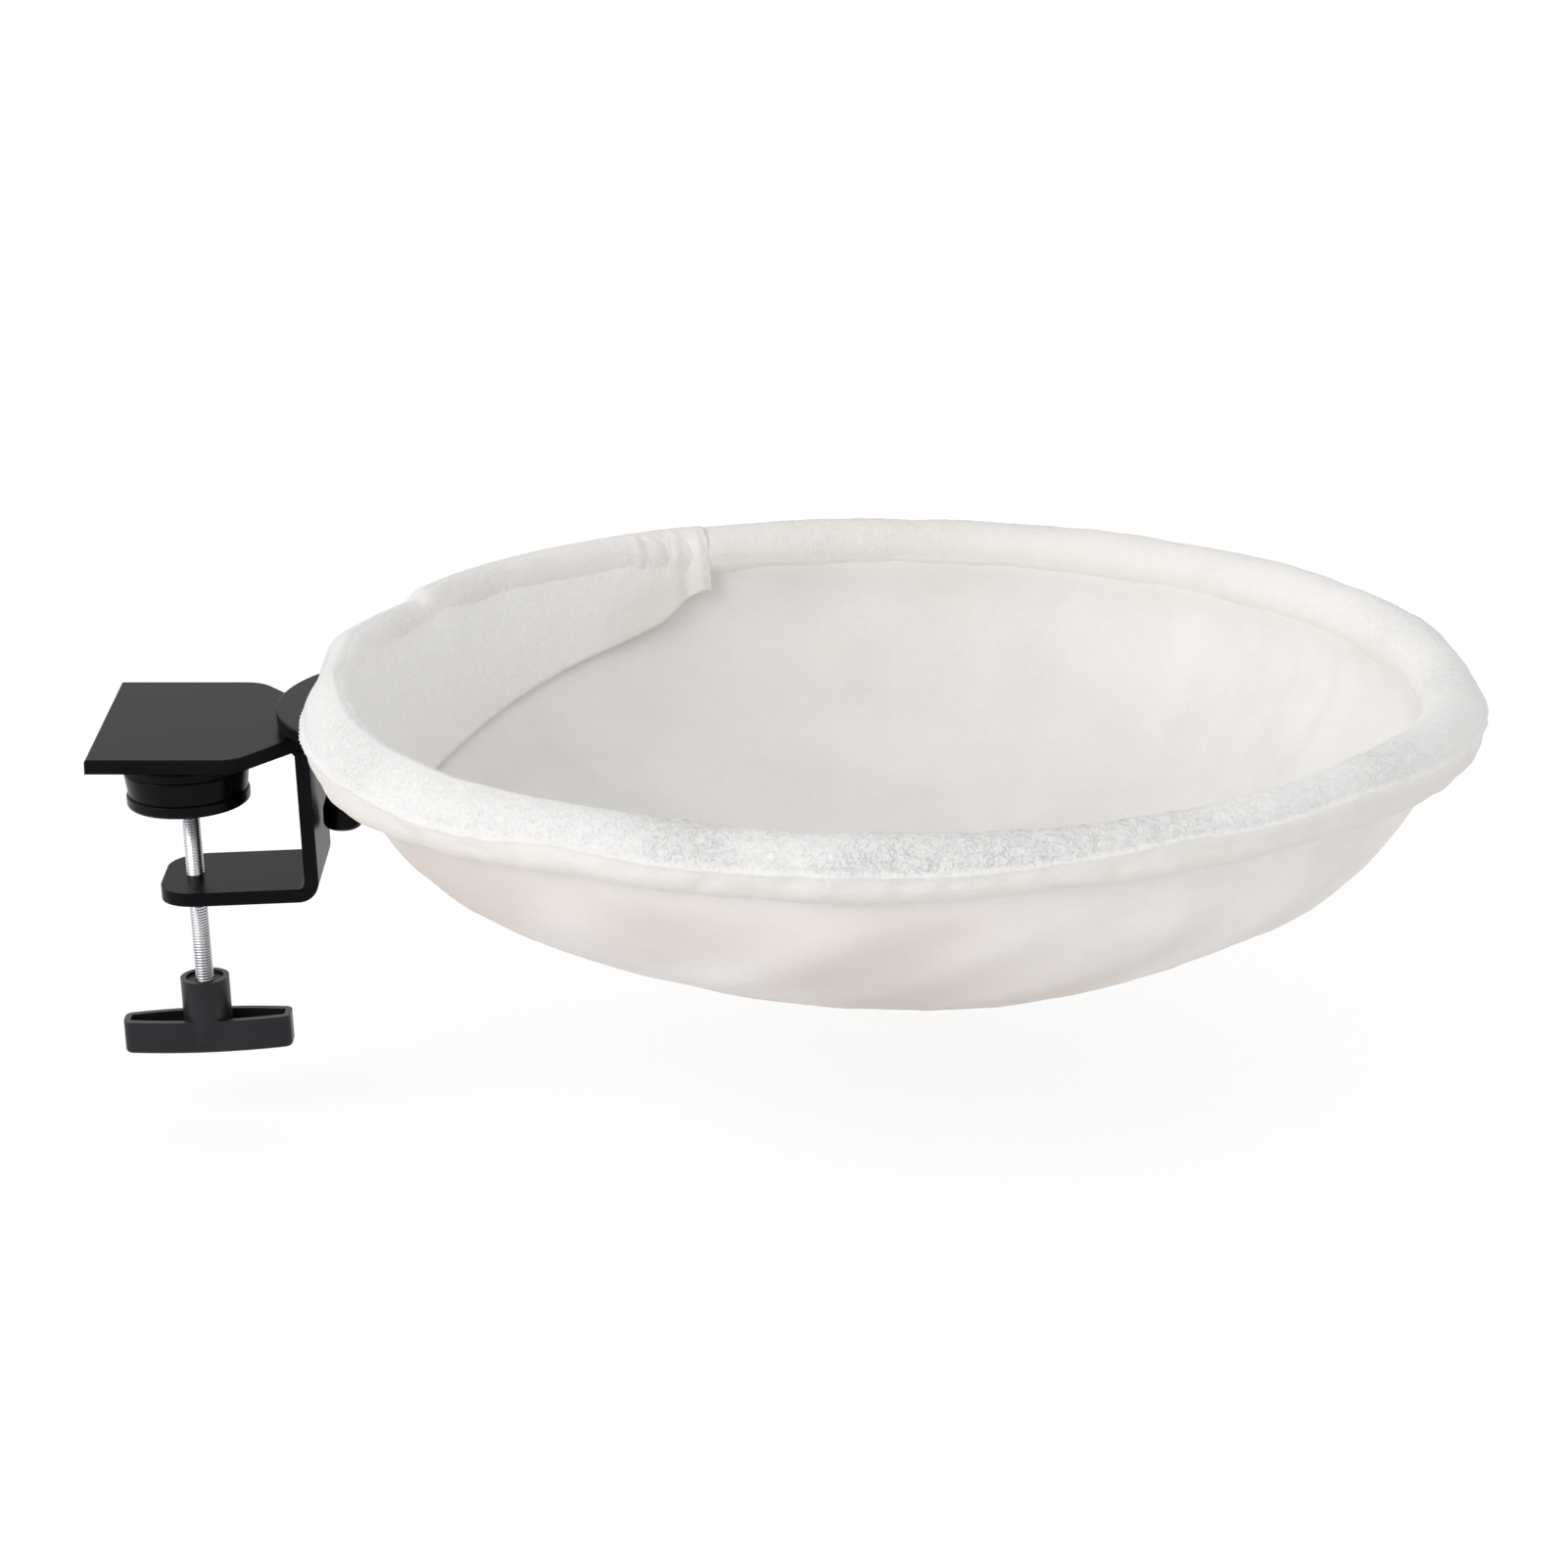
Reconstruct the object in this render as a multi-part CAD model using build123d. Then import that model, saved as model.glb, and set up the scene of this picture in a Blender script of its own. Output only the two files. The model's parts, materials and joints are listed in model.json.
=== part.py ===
from build123d import *
from build123d.topology import SkipClean
import os
from math import asin, atan2, cos, degrees, radians, sin, sqrt

# Windowsill cat bed: a steel screw clamp with a swivelling round hammock.
# Millimetres. +X runs from the clamp to the bed, +Z is up.
# The origin is on the top plate's underside, on the line of the clamp screw.

# Clearances
running_gap = 0.05
face_gap = 0.05
assembly_gap = 0.1
cloth_gap = 0.3
cut_overrun = 2.0

# Top plate
plate_thickness = 6.0
plate_depth = 115.0
plate_back_reach = 34.0
plate_square_reach = 28.0
plate_corner_radius = 14.0
plate_edge_radius = 1.0
neck_corner_radius = 6.0
nose_radius = 18.0
nose_blend_radius = 6.0

# Strap and lower jaw
throat_reach = 50.0
throat_height = 61.0
strap_width = 54.0
strap_thickness = 6.0
bend_radius = 3.0
jaw_tip_reach = 13.5
jaw_corner_radius = 16.0
jaw_splay_deg = 2.5
weld_leg = 2.5
weld_inset = 2.0

# Clamp screw and its ball
screw_radius = 4.0
spigot_radius = 2.5
spigot_length = 8.0
ball_radius = 6.5
ball_depth = 21.0
ball_foot = 4.5
ball_top = 4.6

# Pressure pad
pad_radius = 27.0
pad_waist_radius = 25.6
pad_rim_radius = 26.5
pad_rim_height = 5.5
pad_rim_fillet = 2.0
pad_rim_top_fillet = 0.7
pad_top_depth = 8.0
pad_face_thickness = 4.0
pad_face_fillet = 1.0
pad_height = 16.2
pad_fillet = 1.2
retainer_radius = 10.0
retainer_mouth_radius = 5.4

# Handle
hub_top_depth = 108.1
hub_radius = 10.6
hub_height = 18.0
hub_recess_radius = 8.2
hub_recess_depth = 1.2
bar_length = 73.0
bar_height = 14.6
bar_mid_half_width = 9.8
bar_end_half_width = 6.0
bar_corner_radius = 4.0
bar_wall = 2.8
bar_floor = 4.0
bar_fillet = 1.8
insert_radius = 6.5
insert_length = 14.0
screw_end_cover = 2.0

# Swivel joint under the bed
knob_radius = 8.4
knob_to_strap = 2.6
knob_neck_radius = 6.4
knob_bottom_depth = 42.0
knob_cap_height = 9.0
knob_flare_height = 7.0
knob_fillet = 3.0
knob_insert_radius = 5.2
knob_insert_length = 18.0
bolt_radius = 4.0
bolt_head_radius = 9.5
bolt_head_height = 4.0
bolt_head_fillet = 2.5
bolt_square = 8.0
bolt_end_cover = 12.0
washer_radius = 8.0
washer_thickness = 1.6
spring_washer_radius = 7.0
spring_washer_thickness = 2.0
spring_washer_split = 0.8
friction_pad_thickness = 3.0
friction_pad_inset = 1.0

# Hub plate and hoop
hub_plate_thickness = 5.0
hub_plate_arc = 77.0
hub_plate_lead = 26.5
hub_plate_tail = 14.0
hub_plate_half_width = 61.0
hub_plate_corner = 8.0
hub_plate_edge_radius = 0.8
hoop_radius = 236.0
hoop_tube_radius = 6.5
hoop_wall = 1.2
hoop_end_reach = 18.0
hoop_joint_gap = 0.2
joiner_length = 60.0
joiner_wall = 1.2
socket_wall = 1.6
socket_floor = 1.0
socket_length = 28.0
socket_screw_radius = 2.0
socket_screw_length = 7.0
socket_screw_head_radius = 3.5
socket_screw_head_height = 2.0

# Cover
foam_thickness = 3.8
plush_thickness = 2.7
cloth_thickness = 2.5
bowl_depth = 122.5
bowl_shoulder_radius = 90.0
knob_pocket_gap = 3.6
nose_pocket_gap = 2.5
nose_pocket_drop = 1.5
hem_seam_deg = 153.0
hem_seam_gap = 0.3
flap_start_deg = 112.0
flap_end_deg = 248.0
flap_depth_at_start = 18.0
flap_depth_at_hub = 50.0
flap_inner_lean = 5.5
fold_swell_shares = (0.25, 0.8, 1.0, 0.8, 0.25)
fold_sink = 1.2
fold_step_share = 0.01
under_fold_count = 4
under_fold_start_deg = -110.0
under_fold_pitch_deg = 17.0
under_fold_slant_deg = 15.0
under_fold_low_dip_deg = 46.0
under_fold_high_dip_deg = 17.0
under_fold_width = 30.0
under_fold_height = 2.6
inner_fold_count = 4
inner_fold_start_deg = 24.0
inner_fold_pitch_deg = 8.0
inner_fold_slant_deg = 1.5
inner_fold_low_dip_deg = 58.0
inner_fold_high_dip_deg = 16.0
inner_fold_width = 20.0
inner_fold_height = 2.4
gather_place_shares = (0.0, 0.36, 0.7, 1.0)
gather_span_deg = 6.5
gather_fold_radius = 3.4
gather_fold_height = 26.0
gather_round_share = 0.9
gather_drop = 9.0
gather_lean_deg = -12.0

# Places that follow from the sizes above
pivot_x = throat_reach + strap_thickness + knob_to_strap + knob_radius
bed_x = pivot_x + hoop_radius
nose_top = plate_thickness
hub_plate_bottom = nose_top + face_gap + friction_pad_thickness
hub_plate_top = hub_plate_bottom + hub_plate_thickness
socket_bore = hoop_tube_radius + assembly_gap
socket_radius = socket_bore + socket_wall
hoop_z = hub_plate_top + socket_floor + socket_bore
foam_bore = hoop_tube_radius + cloth_gap
foam_radius = foam_bore + foam_thickness
hem_bore = foam_radius + cloth_gap
hem_radius = hem_bore + plush_thickness

# Everything below the strap's top corner leans with the sprung-open jaw
splay = (
    Pos(throat_reach, 0, 0)
    * Rot(0, -jaw_splay_deg, 0)
    * Pos(-throat_reach, 0, 0)
)


def disc(radius, bottom, height, x=0.0, y=0.0):
    return Pos(x, y, bottom) * Cylinder(
        radius, height, align=(Align.CENTER, Align.CENTER, Align.MIN)
    )


def block(x_low, x_high, half_width, z_low, z_high):
    return Pos(x_low, 0, z_low) * Box(
        x_high - x_low,
        2 * half_width,
        z_high - z_low,
        align=(Align.MIN, Align.CENTER, Align.MIN),
    )


def spun(points_and_arcs, x=0.0):
    face = Plane.XZ * make_face(points_and_arcs)
    return Pos(x, 0, 0) * revolve(face, Axis.Z)


def rim_of(shape, radius, height):
    circles = shape.edges().filter_by(GeomType.CIRCLE)
    level = circles.filter_by_position(Axis.Z, height - running_gap, height + running_gap)
    return [edge for edge in level if abs(edge.radius - radius) < running_gap]


def hoop_arc(section, start_deg, end_deg):
    # A section drawn around the tube's centre, swept around the bed's axis
    placed = Plane.XZ * (Pos(hoop_radius, hoop_z) * section)
    ring = revolve(placed, Axis.Z, end_deg - start_deg)
    return Pos(bed_x, 0, 0) * Rot(0, 0, start_deg) * ring


def split_ring(radius, bore):
    # A tube around the whole hoop, whose ends meet at the hem's seam
    gap = hoop_angle(hem_seam_gap)
    section = Circle(radius) - Circle(bore)
    return hoop_arc(section, hem_seam_deg, hem_seam_deg + 360 - gap)


def hoop_angle(reach):
    return degrees(asin(reach / hoop_radius))


# Top plate

def plate_outline():
    half = plate_depth / 2
    neck = strap_width / 2
    lower = Polyline(
        (pivot_x, -nose_radius),
        (throat_reach, -neck),
        (plate_square_reach, -half),
        (-plate_back_reach, -half),
        (-plate_back_reach, half),
        (plate_square_reach, half),
        (throat_reach, neck),
        (pivot_x, nose_radius),
    )
    tip = ThreePointArc(
        (pivot_x, nose_radius),
        (pivot_x + nose_radius, 0),
        (pivot_x, -nose_radius),
    )
    return make_face(lower + tip)


def top_plate():
    plate = extrude(plate_outline(), plate_thickness)
    upright = plate.edges().filter_by(Axis.Z)
    shoulders = upright.filter_by_position(
        Axis.X, plate_square_reach - running_gap, plate_square_reach + running_gap
    )
    plate = fillet(shoulders, plate_corner_radius)
    upright = plate.edges().filter_by(Axis.Z)
    necks = upright.filter_by_position(
        Axis.X, throat_reach - running_gap, throat_reach + running_gap
    )
    plate = fillet(necks, neck_corner_radius)
    upright = plate.edges().filter_by(Axis.Z)
    blends = upright.filter_by_position(
        Axis.X, pivot_x - running_gap, pivot_x + running_gap
    )
    plate = fillet(blends, nose_blend_radius)
    rims = plate.faces().sort_by(Axis.Z)[-1].edges()
    plate = fillet(rims, plate_edge_radius)
    plate -= disc(
        bolt_radius + running_gap,
        -cut_overrun,
        plate_thickness + 2 * cut_overrun,
        pivot_x,
    )
    # The seat for the sill keeps an edge of its own, clear of the weld
    nose = block(
        throat_reach - weld_leg - weld_inset,
        pivot_x + 2 * nose_radius,
        plate_depth / 2,
        -cut_overrun,
        plate_thickness + cut_overrun,
    )
    with SkipClean():
        return (plate - nose) + (plate & nose)


# Strap and lower jaw

def strap_and_jaw():
    outer_x = throat_reach + strap_thickness
    inner_z = -throat_height
    outer_z = inner_z - strap_thickness
    outer_bend = bend_radius + strap_thickness
    corner_x = throat_reach - bend_radius
    corner_z = inner_z + bend_radius
    half_share = sqrt(1 / 2)
    path = Polyline(
        (throat_reach, corner_z),
        (throat_reach, cut_overrun),
        (outer_x, cut_overrun),
        (outer_x, corner_z),
    )
    path += ThreePointArc(
        (outer_x, corner_z),
        (corner_x + outer_bend * half_share, corner_z - outer_bend * half_share),
        (corner_x, outer_z),
    )
    path += Polyline(
        (corner_x, outer_z),
        (-jaw_tip_reach, outer_z),
        (-jaw_tip_reach, inner_z),
        (corner_x, inner_z),
    )
    path += ThreePointArc(
        (corner_x, inner_z),
        (corner_x + bend_radius * half_share, corner_z - bend_radius * half_share),
        (throat_reach, corner_z),
    )
    profile = Plane.XZ * make_face(path)
    bar = extrude(profile, strap_width / 2, both=True)
    tips = bar.edges().filter_by(Axis.Z).filter_by_position(
        Axis.X, -jaw_tip_reach - running_gap, -jaw_tip_reach + running_gap
    )
    bar = fillet(tips, jaw_corner_radius)
    bar -= disc(
        screw_radius + running_gap,
        outer_z - cut_overrun,
        strap_thickness + 2 * cut_overrun,
    )
    above = block(
        -plate_back_reach,
        pivot_x + nose_radius,
        plate_depth / 2,
        0,
        throat_height,
    )
    return splay * bar - above


def weld_beads():
    half = strap_width / 2 - weld_inset
    lean = sin(radians(jaw_splay_deg))
    inner_x = throat_reach + weld_leg * lean
    outer_top = throat_reach + strap_thickness / cos(radians(jaw_splay_deg))
    outer_x = outer_top + weld_leg * lean
    inner = Polyline(
        (throat_reach, 0),
        (throat_reach - weld_leg, 0),
        (inner_x, -weld_leg),
        (throat_reach, 0),
    )
    outer = Polyline(
        (outer_top, 0),
        (outer_top + weld_leg, 0),
        (outer_x, -weld_leg),
        (outer_top, 0),
    )
    beads = []
    for line in (inner, outer):
        beads.append(extrude(Plane.XZ * make_face(line), half, both=True))
    strap = strap_and_jaw()
    return [bead - strap for bead in beads]


# Clamp screw

def clamp_screw():
    shoulder = -ball_depth - ball_foot
    end = -hub_top_depth - hub_recess_depth - insert_length + screw_end_cover
    rod = disc(screw_radius, end, shoulder - end)
    rod += disc(spigot_radius, shoulder, spigot_length)
    return splay * rod


def ball_tip():
    ball = Pos(0, 0, -ball_depth) * Sphere(ball_radius)
    ball -= disc(ball_radius, -ball_depth - ball_foot - ball_radius, ball_radius)
    ball -= disc(ball_radius, -ball_depth + ball_top, ball_radius)
    ball -= disc(
        spigot_radius + running_gap,
        -ball_depth - ball_foot - cut_overrun,
        spigot_length + running_gap + cut_overrun,
    )
    return splay * ball


# Pressure pad

def pressure_pad():
    top = -pad_top_depth - pad_face_thickness
    bottom = top - pad_height
    rim_top = bottom + pad_rim_height
    wall = Polyline(
        (0, top),
        (pad_radius, top),
        (pad_waist_radius, rim_top),
        (pad_rim_radius, rim_top),
        (pad_rim_radius, bottom),
        (0, bottom),
        (0, top),
    )
    body = spun(wall)
    body = fillet(rim_of(body, pad_rim_radius, bottom), pad_rim_fillet)
    body = fillet(rim_of(body, pad_rim_radius, rim_top), pad_rim_top_fillet)
    body = fillet(rim_of(body, pad_radius, top), pad_fillet)
    body -= Pos(0, 0, -ball_depth) * Sphere(ball_radius + running_gap)
    body -= disc(
        retainer_radius,
        bottom - cut_overrun,
        cut_overrun - ball_depth - bottom,
    )
    return splay * body


def pad_face():
    face = disc(pad_radius, -pad_top_depth - pad_face_thickness, pad_face_thickness)
    rim = face.edges().sort_by(Axis.Z)[-1]
    return splay * fillet(rim, pad_face_fillet)


def pad_retainer():
    bottom = -pad_top_depth - pad_face_thickness - pad_height
    height = -ball_depth - bottom
    ring = disc(retainer_radius - assembly_gap / 2, bottom, height)
    ring -= Pos(0, 0, -ball_depth) * Sphere(ball_radius + running_gap)
    ring -= disc(
        retainer_mouth_radius, bottom - cut_overrun, height + cut_overrun
    )
    return splay * ring


# T-handle

def bar_outline(inset=0.0):
    end_x = bar_length / 2 - inset
    end_y = bar_end_half_width - inset
    mid_y = bar_mid_half_width - inset
    front = ThreePointArc((-end_x, -end_y), (0, -mid_y), (end_x, -end_y))
    back = ThreePointArc((end_x, end_y), (0, mid_y), (-end_x, end_y))
    right = Line((end_x, -end_y), (end_x, end_y))
    left = Line((-end_x, end_y), (-end_x, -end_y))
    outline = make_face(front + right + back + left)
    return fillet(outline.vertices(), bar_corner_radius - inset)


def t_handle():
    bar_top = -hub_top_depth - hub_height
    bar_bottom = bar_top - bar_height
    bar = Pos(0, 0, bar_bottom) * extrude(bar_outline(), bar_height)
    low_rim = bar.faces().sort_by(Axis.Z)[0].edges()
    bar = fillet(low_rim, bar_fillet)
    wells = Pos(0, 0, bar_bottom + bar_floor) * extrude(
        bar_outline(bar_wall), bar_height - bar_floor + cut_overrun
    )
    hub_full = disc(hub_radius, bar_bottom + bar_floor, hub_height + bar_height - bar_floor)
    handle = bar - wells + hub_full
    handle -= disc(
        hub_recess_radius,
        -hub_top_depth - hub_recess_depth,
        hub_recess_depth + cut_overrun,
    )
    handle -= disc(
        insert_radius + running_gap,
        -hub_top_depth - hub_recess_depth - insert_length,
        insert_length + cut_overrun,
    )
    return splay * handle


def handle_insert():
    bottom = -hub_top_depth - hub_recess_depth - insert_length
    bush = disc(insert_radius, bottom, insert_length)
    bush -= disc(screw_radius + running_gap, bottom + screw_end_cover, insert_length)
    return splay * bush


# Swivel joint

def friction_pad():
    bottom = nose_top + face_gap
    keep = block(0, pivot_x + nose_radius, strap_width / 2, bottom, hub_plate_bottom)
    pad = extrude(hub_outline(-friction_pad_inset), hub_plate_top) & keep
    return pad - disc(
        bolt_radius + assembly_gap,
        bottom - cut_overrun,
        friction_pad_thickness + 2 * cut_overrun,
        pivot_x,
    )


def washer(radius, top, thickness):
    bottom = top - thickness
    hole = disc(
        bolt_radius + assembly_gap,
        bottom - cut_overrun,
        thickness + 2 * cut_overrun,
        pivot_x,
    )
    return disc(radius, bottom, thickness, pivot_x) - hole


def plain_washer():
    return washer(washer_radius, -face_gap, washer_thickness)


def spring_washer():
    top = -face_gap - washer_thickness
    ring = washer(spring_washer_radius, top, spring_washer_thickness)
    split = block(
        pivot_x,
        pivot_x + spring_washer_radius + cut_overrun,
        spring_washer_split / 2,
        top - spring_washer_thickness - cut_overrun,
        top + cut_overrun,
    )
    return ring - split


def knob_top_z():
    return -2 * face_gap - washer_thickness - spring_washer_thickness


def lock_knob():
    top = knob_top_z()
    bottom = -knob_bottom_depth
    cap_top = bottom + knob_cap_height
    line = Polyline(
        (0, top),
        (knob_neck_radius, top),
        (knob_neck_radius, cap_top + knob_flare_height),
        (knob_radius, cap_top),
        (knob_radius, bottom),
        (0, bottom),
        (0, top),
    )
    knob = spun(line, pivot_x)
    knob = fillet(rim_of(knob, knob_radius, bottom), knob_fillet)
    return knob - disc(
        knob_insert_radius + running_gap,
        top - knob_insert_length,
        knob_insert_length + cut_overrun,
        pivot_x,
    )


def knob_insert():
    top = knob_top_z()
    bush = disc(knob_insert_radius, top - knob_insert_length, knob_insert_length, pivot_x)
    return bush - disc(
        bolt_radius + running_gap,
        top - knob_insert_length - cut_overrun,
        knob_insert_length + 2 * cut_overrun,
        pivot_x,
    )


def pivot_bolt():
    end = knob_top_z() - bolt_end_cover
    head = disc(bolt_head_radius, hub_plate_top, bolt_head_height, pivot_x)
    crown = head.edges().sort_by(Axis.Z)[-1]
    head = fillet(crown, bolt_head_fillet)
    neck = Pos(pivot_x, 0, hub_plate_bottom) * Box(
        bolt_square,
        bolt_square,
        hub_plate_thickness,
        align=(Align.CENTER, Align.CENTER, Align.MIN),
    )
    return head + neck + disc(bolt_radius, end, hub_plate_bottom - end, pivot_x)


# Hub plate and hoop

def hub_outline(grow=0.0):
    centre_x = pivot_x - hub_plate_lead + hub_plate_arc
    round_part = Pos(centre_x, 0) * Circle(hub_plate_arc + grow)
    tail_x = pivot_x + hub_plate_tail + grow
    lead_x = pivot_x - hub_plate_lead - cut_overrun
    body = Pos((lead_x + tail_x) / 2, 0) * Rectangle(
        tail_x - lead_x, 2 * (hub_plate_half_width + grow)
    )
    return round_part & body


def hub_plate():
    plate = Pos(0, 0, hub_plate_bottom) * extrude(hub_outline(), hub_plate_thickness)
    tails = plate.edges().filter_by(Axis.Z).group_by(Axis.X)[-1]
    plate = fillet(tails, hub_plate_corner)
    rims = plate.faces().sort_by(Axis.Z)[-1].edges()
    plate = fillet(rims, hub_plate_edge_radius)
    side = bolt_square + 2 * assembly_gap
    return plate - Pos(pivot_x, 0, hub_plate_bottom) * Box(
        side, side, 2 * hub_plate_thickness + cut_overrun
    )


def socket_angles():
    near = hoop_angle(hoop_end_reach)
    far = hoop_angle(hoop_end_reach + socket_length)
    return near, far


def screw_spot(side):
    near, far = socket_angles()
    angle = radians(180 + side * (near + far) / 2)
    return bed_x + hoop_radius * cos(angle), hoop_radius * sin(angle)


def screw_hole(side):
    x, y = screw_spot(side)
    inside = hoop_z + hoop_tube_radius / 2
    return disc(socket_screw_radius + running_gap, inside, socket_radius, x, y)


def hoop_sockets():
    near, far = socket_angles()
    floor = block(
        pivot_x - hub_plate_lead,
        pivot_x + hub_plate_tail + hub_plate_lead,
        hub_plate_half_width,
        0,
        hub_plate_top,
    )
    sockets = []
    for side in (-1, 1):
        start, end = sorted((180 + side * near, 180 + side * far))
        ring = hoop_arc(Circle(socket_radius) - Circle(socket_bore), start, end)
        ring -= screw_hole(side)
        sockets.append(ring - floor)
    return sockets


def socket_screws():
    screws = []
    head_z = hoop_z + socket_radius
    for side in (-1, 1):
        x, y = screw_spot(side)
        head = disc(
            socket_screw_head_radius, head_z, socket_screw_head_height, x, y
        )
        shank = disc(
            socket_screw_radius, head_z - socket_screw_length, socket_screw_length, x, y
        )
        screws.append(head + shank)
    return screws


def hoop_half(side):
    near = hoop_angle(hoop_end_reach)
    seam = hoop_angle(hoop_joint_gap / 2)
    section = Circle(hoop_tube_radius) - Circle(hoop_tube_radius - hoop_wall)
    if side < 0:
        start, end = 180 + near, 360 - seam
    else:
        start, end = seam, 180 - near
    return hoop_arc(section, start, end) - screw_hole(-side)


def hoop_joiner():
    half = hoop_angle(joiner_length / 2)
    outside = hoop_tube_radius - hoop_wall - assembly_gap
    section = Circle(outside) - Circle(outside - joiner_wall)
    return hoop_arc(section, -half, half)


# Cover

def hub_void(grow):
    outline = hub_outline(grow)
    return extrude(outline, hub_plate_top + grow)


def bolt_head_void():
    return disc(
        bolt_head_radius + cloth_gap,
        0,
        hub_plate_top + bolt_head_height + cloth_gap,
        pivot_x,
    )


def foam_ring():
    ring = split_ring(foam_radius, foam_bore)
    near, far = socket_angles()
    spare = hoop_angle(cloth_gap)
    for side in (-1, 1):
        start, end = sorted((180 + side * (near - spare), 180 + side * (far + spare)))
        ring -= hoop_arc(Circle(socket_radius + cloth_gap), start, end)
        x, y = screw_spot(side)
        ring -= disc(
            socket_screw_head_radius + cloth_gap,
            hoop_z + hoop_tube_radius / 2,
            foam_radius,
            x,
            y,
        )
    return ring - hub_void(cloth_gap) - bolt_head_void()


def hem_cover():
    return split_ring(hem_radius, hem_bore) - hub_void(cloth_gap) - bolt_head_void()


def bowl_profile(inset):
    # Half of an oval bowl: a shoulder arc at the rim and one flat arc below
    reach = hoop_radius - inset
    depth = bowl_depth - inset
    shoulder = bowl_shoulder_radius - inset
    run = reach - shoulder
    drop = depth - shoulder
    base_centre = (run * run - drop * drop) / (2 * drop)
    base_radius = depth + base_centre
    span = base_radius - shoulder
    join_x = run + shoulder * run / span
    join_z = -shoulder * base_centre / span
    mid_x = run + shoulder * sqrt((1 + run / span) / 2)
    mid_z = -shoulder * sqrt((1 - run / span) / 2)
    low_x = join_x / 2
    low_z = base_centre - sqrt(base_radius**2 - low_x**2)
    side = ThreePointArc((reach, 0), (mid_x, mid_z), (join_x, join_z))
    base = ThreePointArc((join_x, join_z), (low_x, low_z), (0, -depth))
    top = Line((0, -depth), (0, 0)) + Line((0, 0), (reach, 0))
    return make_face(side + base + top)


def bowl_body(inset):
    face = Plane.XZ * bowl_profile(inset)
    return Pos(bed_x, 0, hoop_z) * revolve(face, Axis.Z)


def clamp_pocket():
    nose = disc(
        nose_radius + nose_pocket_gap,
        -nose_pocket_drop,
        hoop_z + nose_pocket_drop,
        pivot_x,
    )
    knob = disc(
        knob_radius + knob_pocket_gap,
        -knob_bottom_depth - knob_pocket_gap,
        knob_bottom_depth + knob_pocket_gap,
        pivot_x,
    )
    return nose + knob


def shoulder_spot(radius, angle_deg, dip_deg):
    # A place on the bowl's shoulder, and the way that its surface faces
    turn = radians(angle_deg)
    dip = radians(dip_deg)
    facing = Vector(cos(turn) * cos(dip), sin(turn) * cos(dip), -sin(dip))
    rim = Vector(cos(turn), sin(turn), 0) * (hoop_radius - bowl_shoulder_radius)
    return Vector(bed_x, 0, hoop_z) + rim + facing * radius, facing


def cloth_fold(radius, low, high, width, height, side):
    # One soft ridge of cloth between two places on the shoulder
    sections = []
    for index, swell in enumerate(fold_swell_shares):
        share = index / (len(fold_swell_shares) - 1)
        spots = []
        for place_share in (share, share + fold_step_share):
            angle = low[0] + (high[0] - low[0]) * place_share
            dip = low[1] + (high[1] - low[1]) * place_share
            spots.append(shoulder_spot(radius, angle, dip))
        place, facing = spots[0]
        along = spots[1][0] - place
        up = facing * side
        plane = Plane(place - up * fold_sink, x_dir=up.cross(along), z_dir=along)
        half = width * swell / 2
        top = (fold_sink + height) * swell
        arc = ThreePointArc((-half, 0), (0, top), (half, 0))
        sections.append(plane * make_face(arc + Line((half, 0), (-half, 0))))
    return loft(sections)


def under_folds():
    folds = []
    for index in range(under_fold_count):
        angle = under_fold_start_deg + index * under_fold_pitch_deg
        low = (angle, under_fold_low_dip_deg)
        high = (angle + under_fold_slant_deg, under_fold_high_dip_deg)
        folds.append(
            cloth_fold(
                bowl_shoulder_radius, low, high, under_fold_width, under_fold_height, 1
            )
        )
    return folds


def inner_folds():
    radius = bowl_shoulder_radius - 2 * cloth_thickness - cloth_gap
    folds = []
    for index in range(inner_fold_count):
        angle = inner_fold_start_deg + index * inner_fold_pitch_deg
        low = (angle, inner_fold_low_dip_deg)
        high = (angle + inner_fold_slant_deg, inner_fold_high_dip_deg)
        folds.append(
            cloth_fold(radius, low, high, inner_fold_width, inner_fold_height, -1)
        )
    return folds


def bowl_shell(outer_inset, folds):
    shell = bowl_body(outer_inset) - bowl_body(outer_inset + cloth_thickness)
    shell += folds
    shell -= Pos(bed_x, 0, hoop_z) * Torus(hoop_radius, hem_radius + cloth_gap)
    return shell - clamp_pocket() - hub_void(cloth_gap)


def bowl_cover():
    return bowl_shell(0, under_folds())


def bowl_lining():
    return bowl_shell(cloth_thickness + cloth_gap, inner_folds())


def hem_flap():
    top_r = hoop_radius - hem_radius - cloth_gap
    hub_r = hoop_radius - nose_radius - 2 * cloth_gap
    low_r = hub_r - flap_inner_lean
    hub_high = hub_plate_top + cloth_gap
    hub_low = -nose_pocket_drop
    low_z = hoop_z - flap_depth_at_hub - cut_overrun
    outer = [(top_r, hoop_z), (hub_r, hub_high), (hub_r, hub_low), (low_r, low_z)]
    inner = [(r - cloth_thickness, z) for r, z in reversed(outer)]
    line = Polyline(*outer, *inner, outer[0])
    band = revolve(Plane.XZ * make_face(line), Axis.Z, flap_end_deg - flap_start_deg)
    band = Pos(bed_x, 0, 0) * Rot(0, 0, flap_start_deg) * band
    band = band & bowl_body(2 * cloth_thickness + 2 * cloth_gap)
    start_x = bed_x + hoop_radius * cos(radians(flap_start_deg))
    fall = flap_depth_at_hub - flap_depth_at_start
    tilt = degrees(atan2(fall, start_x - pivot_x))
    below = Pos(start_x, 0, hoop_z - flap_depth_at_start) * Rot(0, -tilt, 0) * Box(
        2 * hoop_radius,
        2 * hoop_radius,
        bowl_depth,
        align=(Align.CENTER, Align.CENTER, Align.MAX),
    )
    return band - below + gather_folds()


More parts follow.
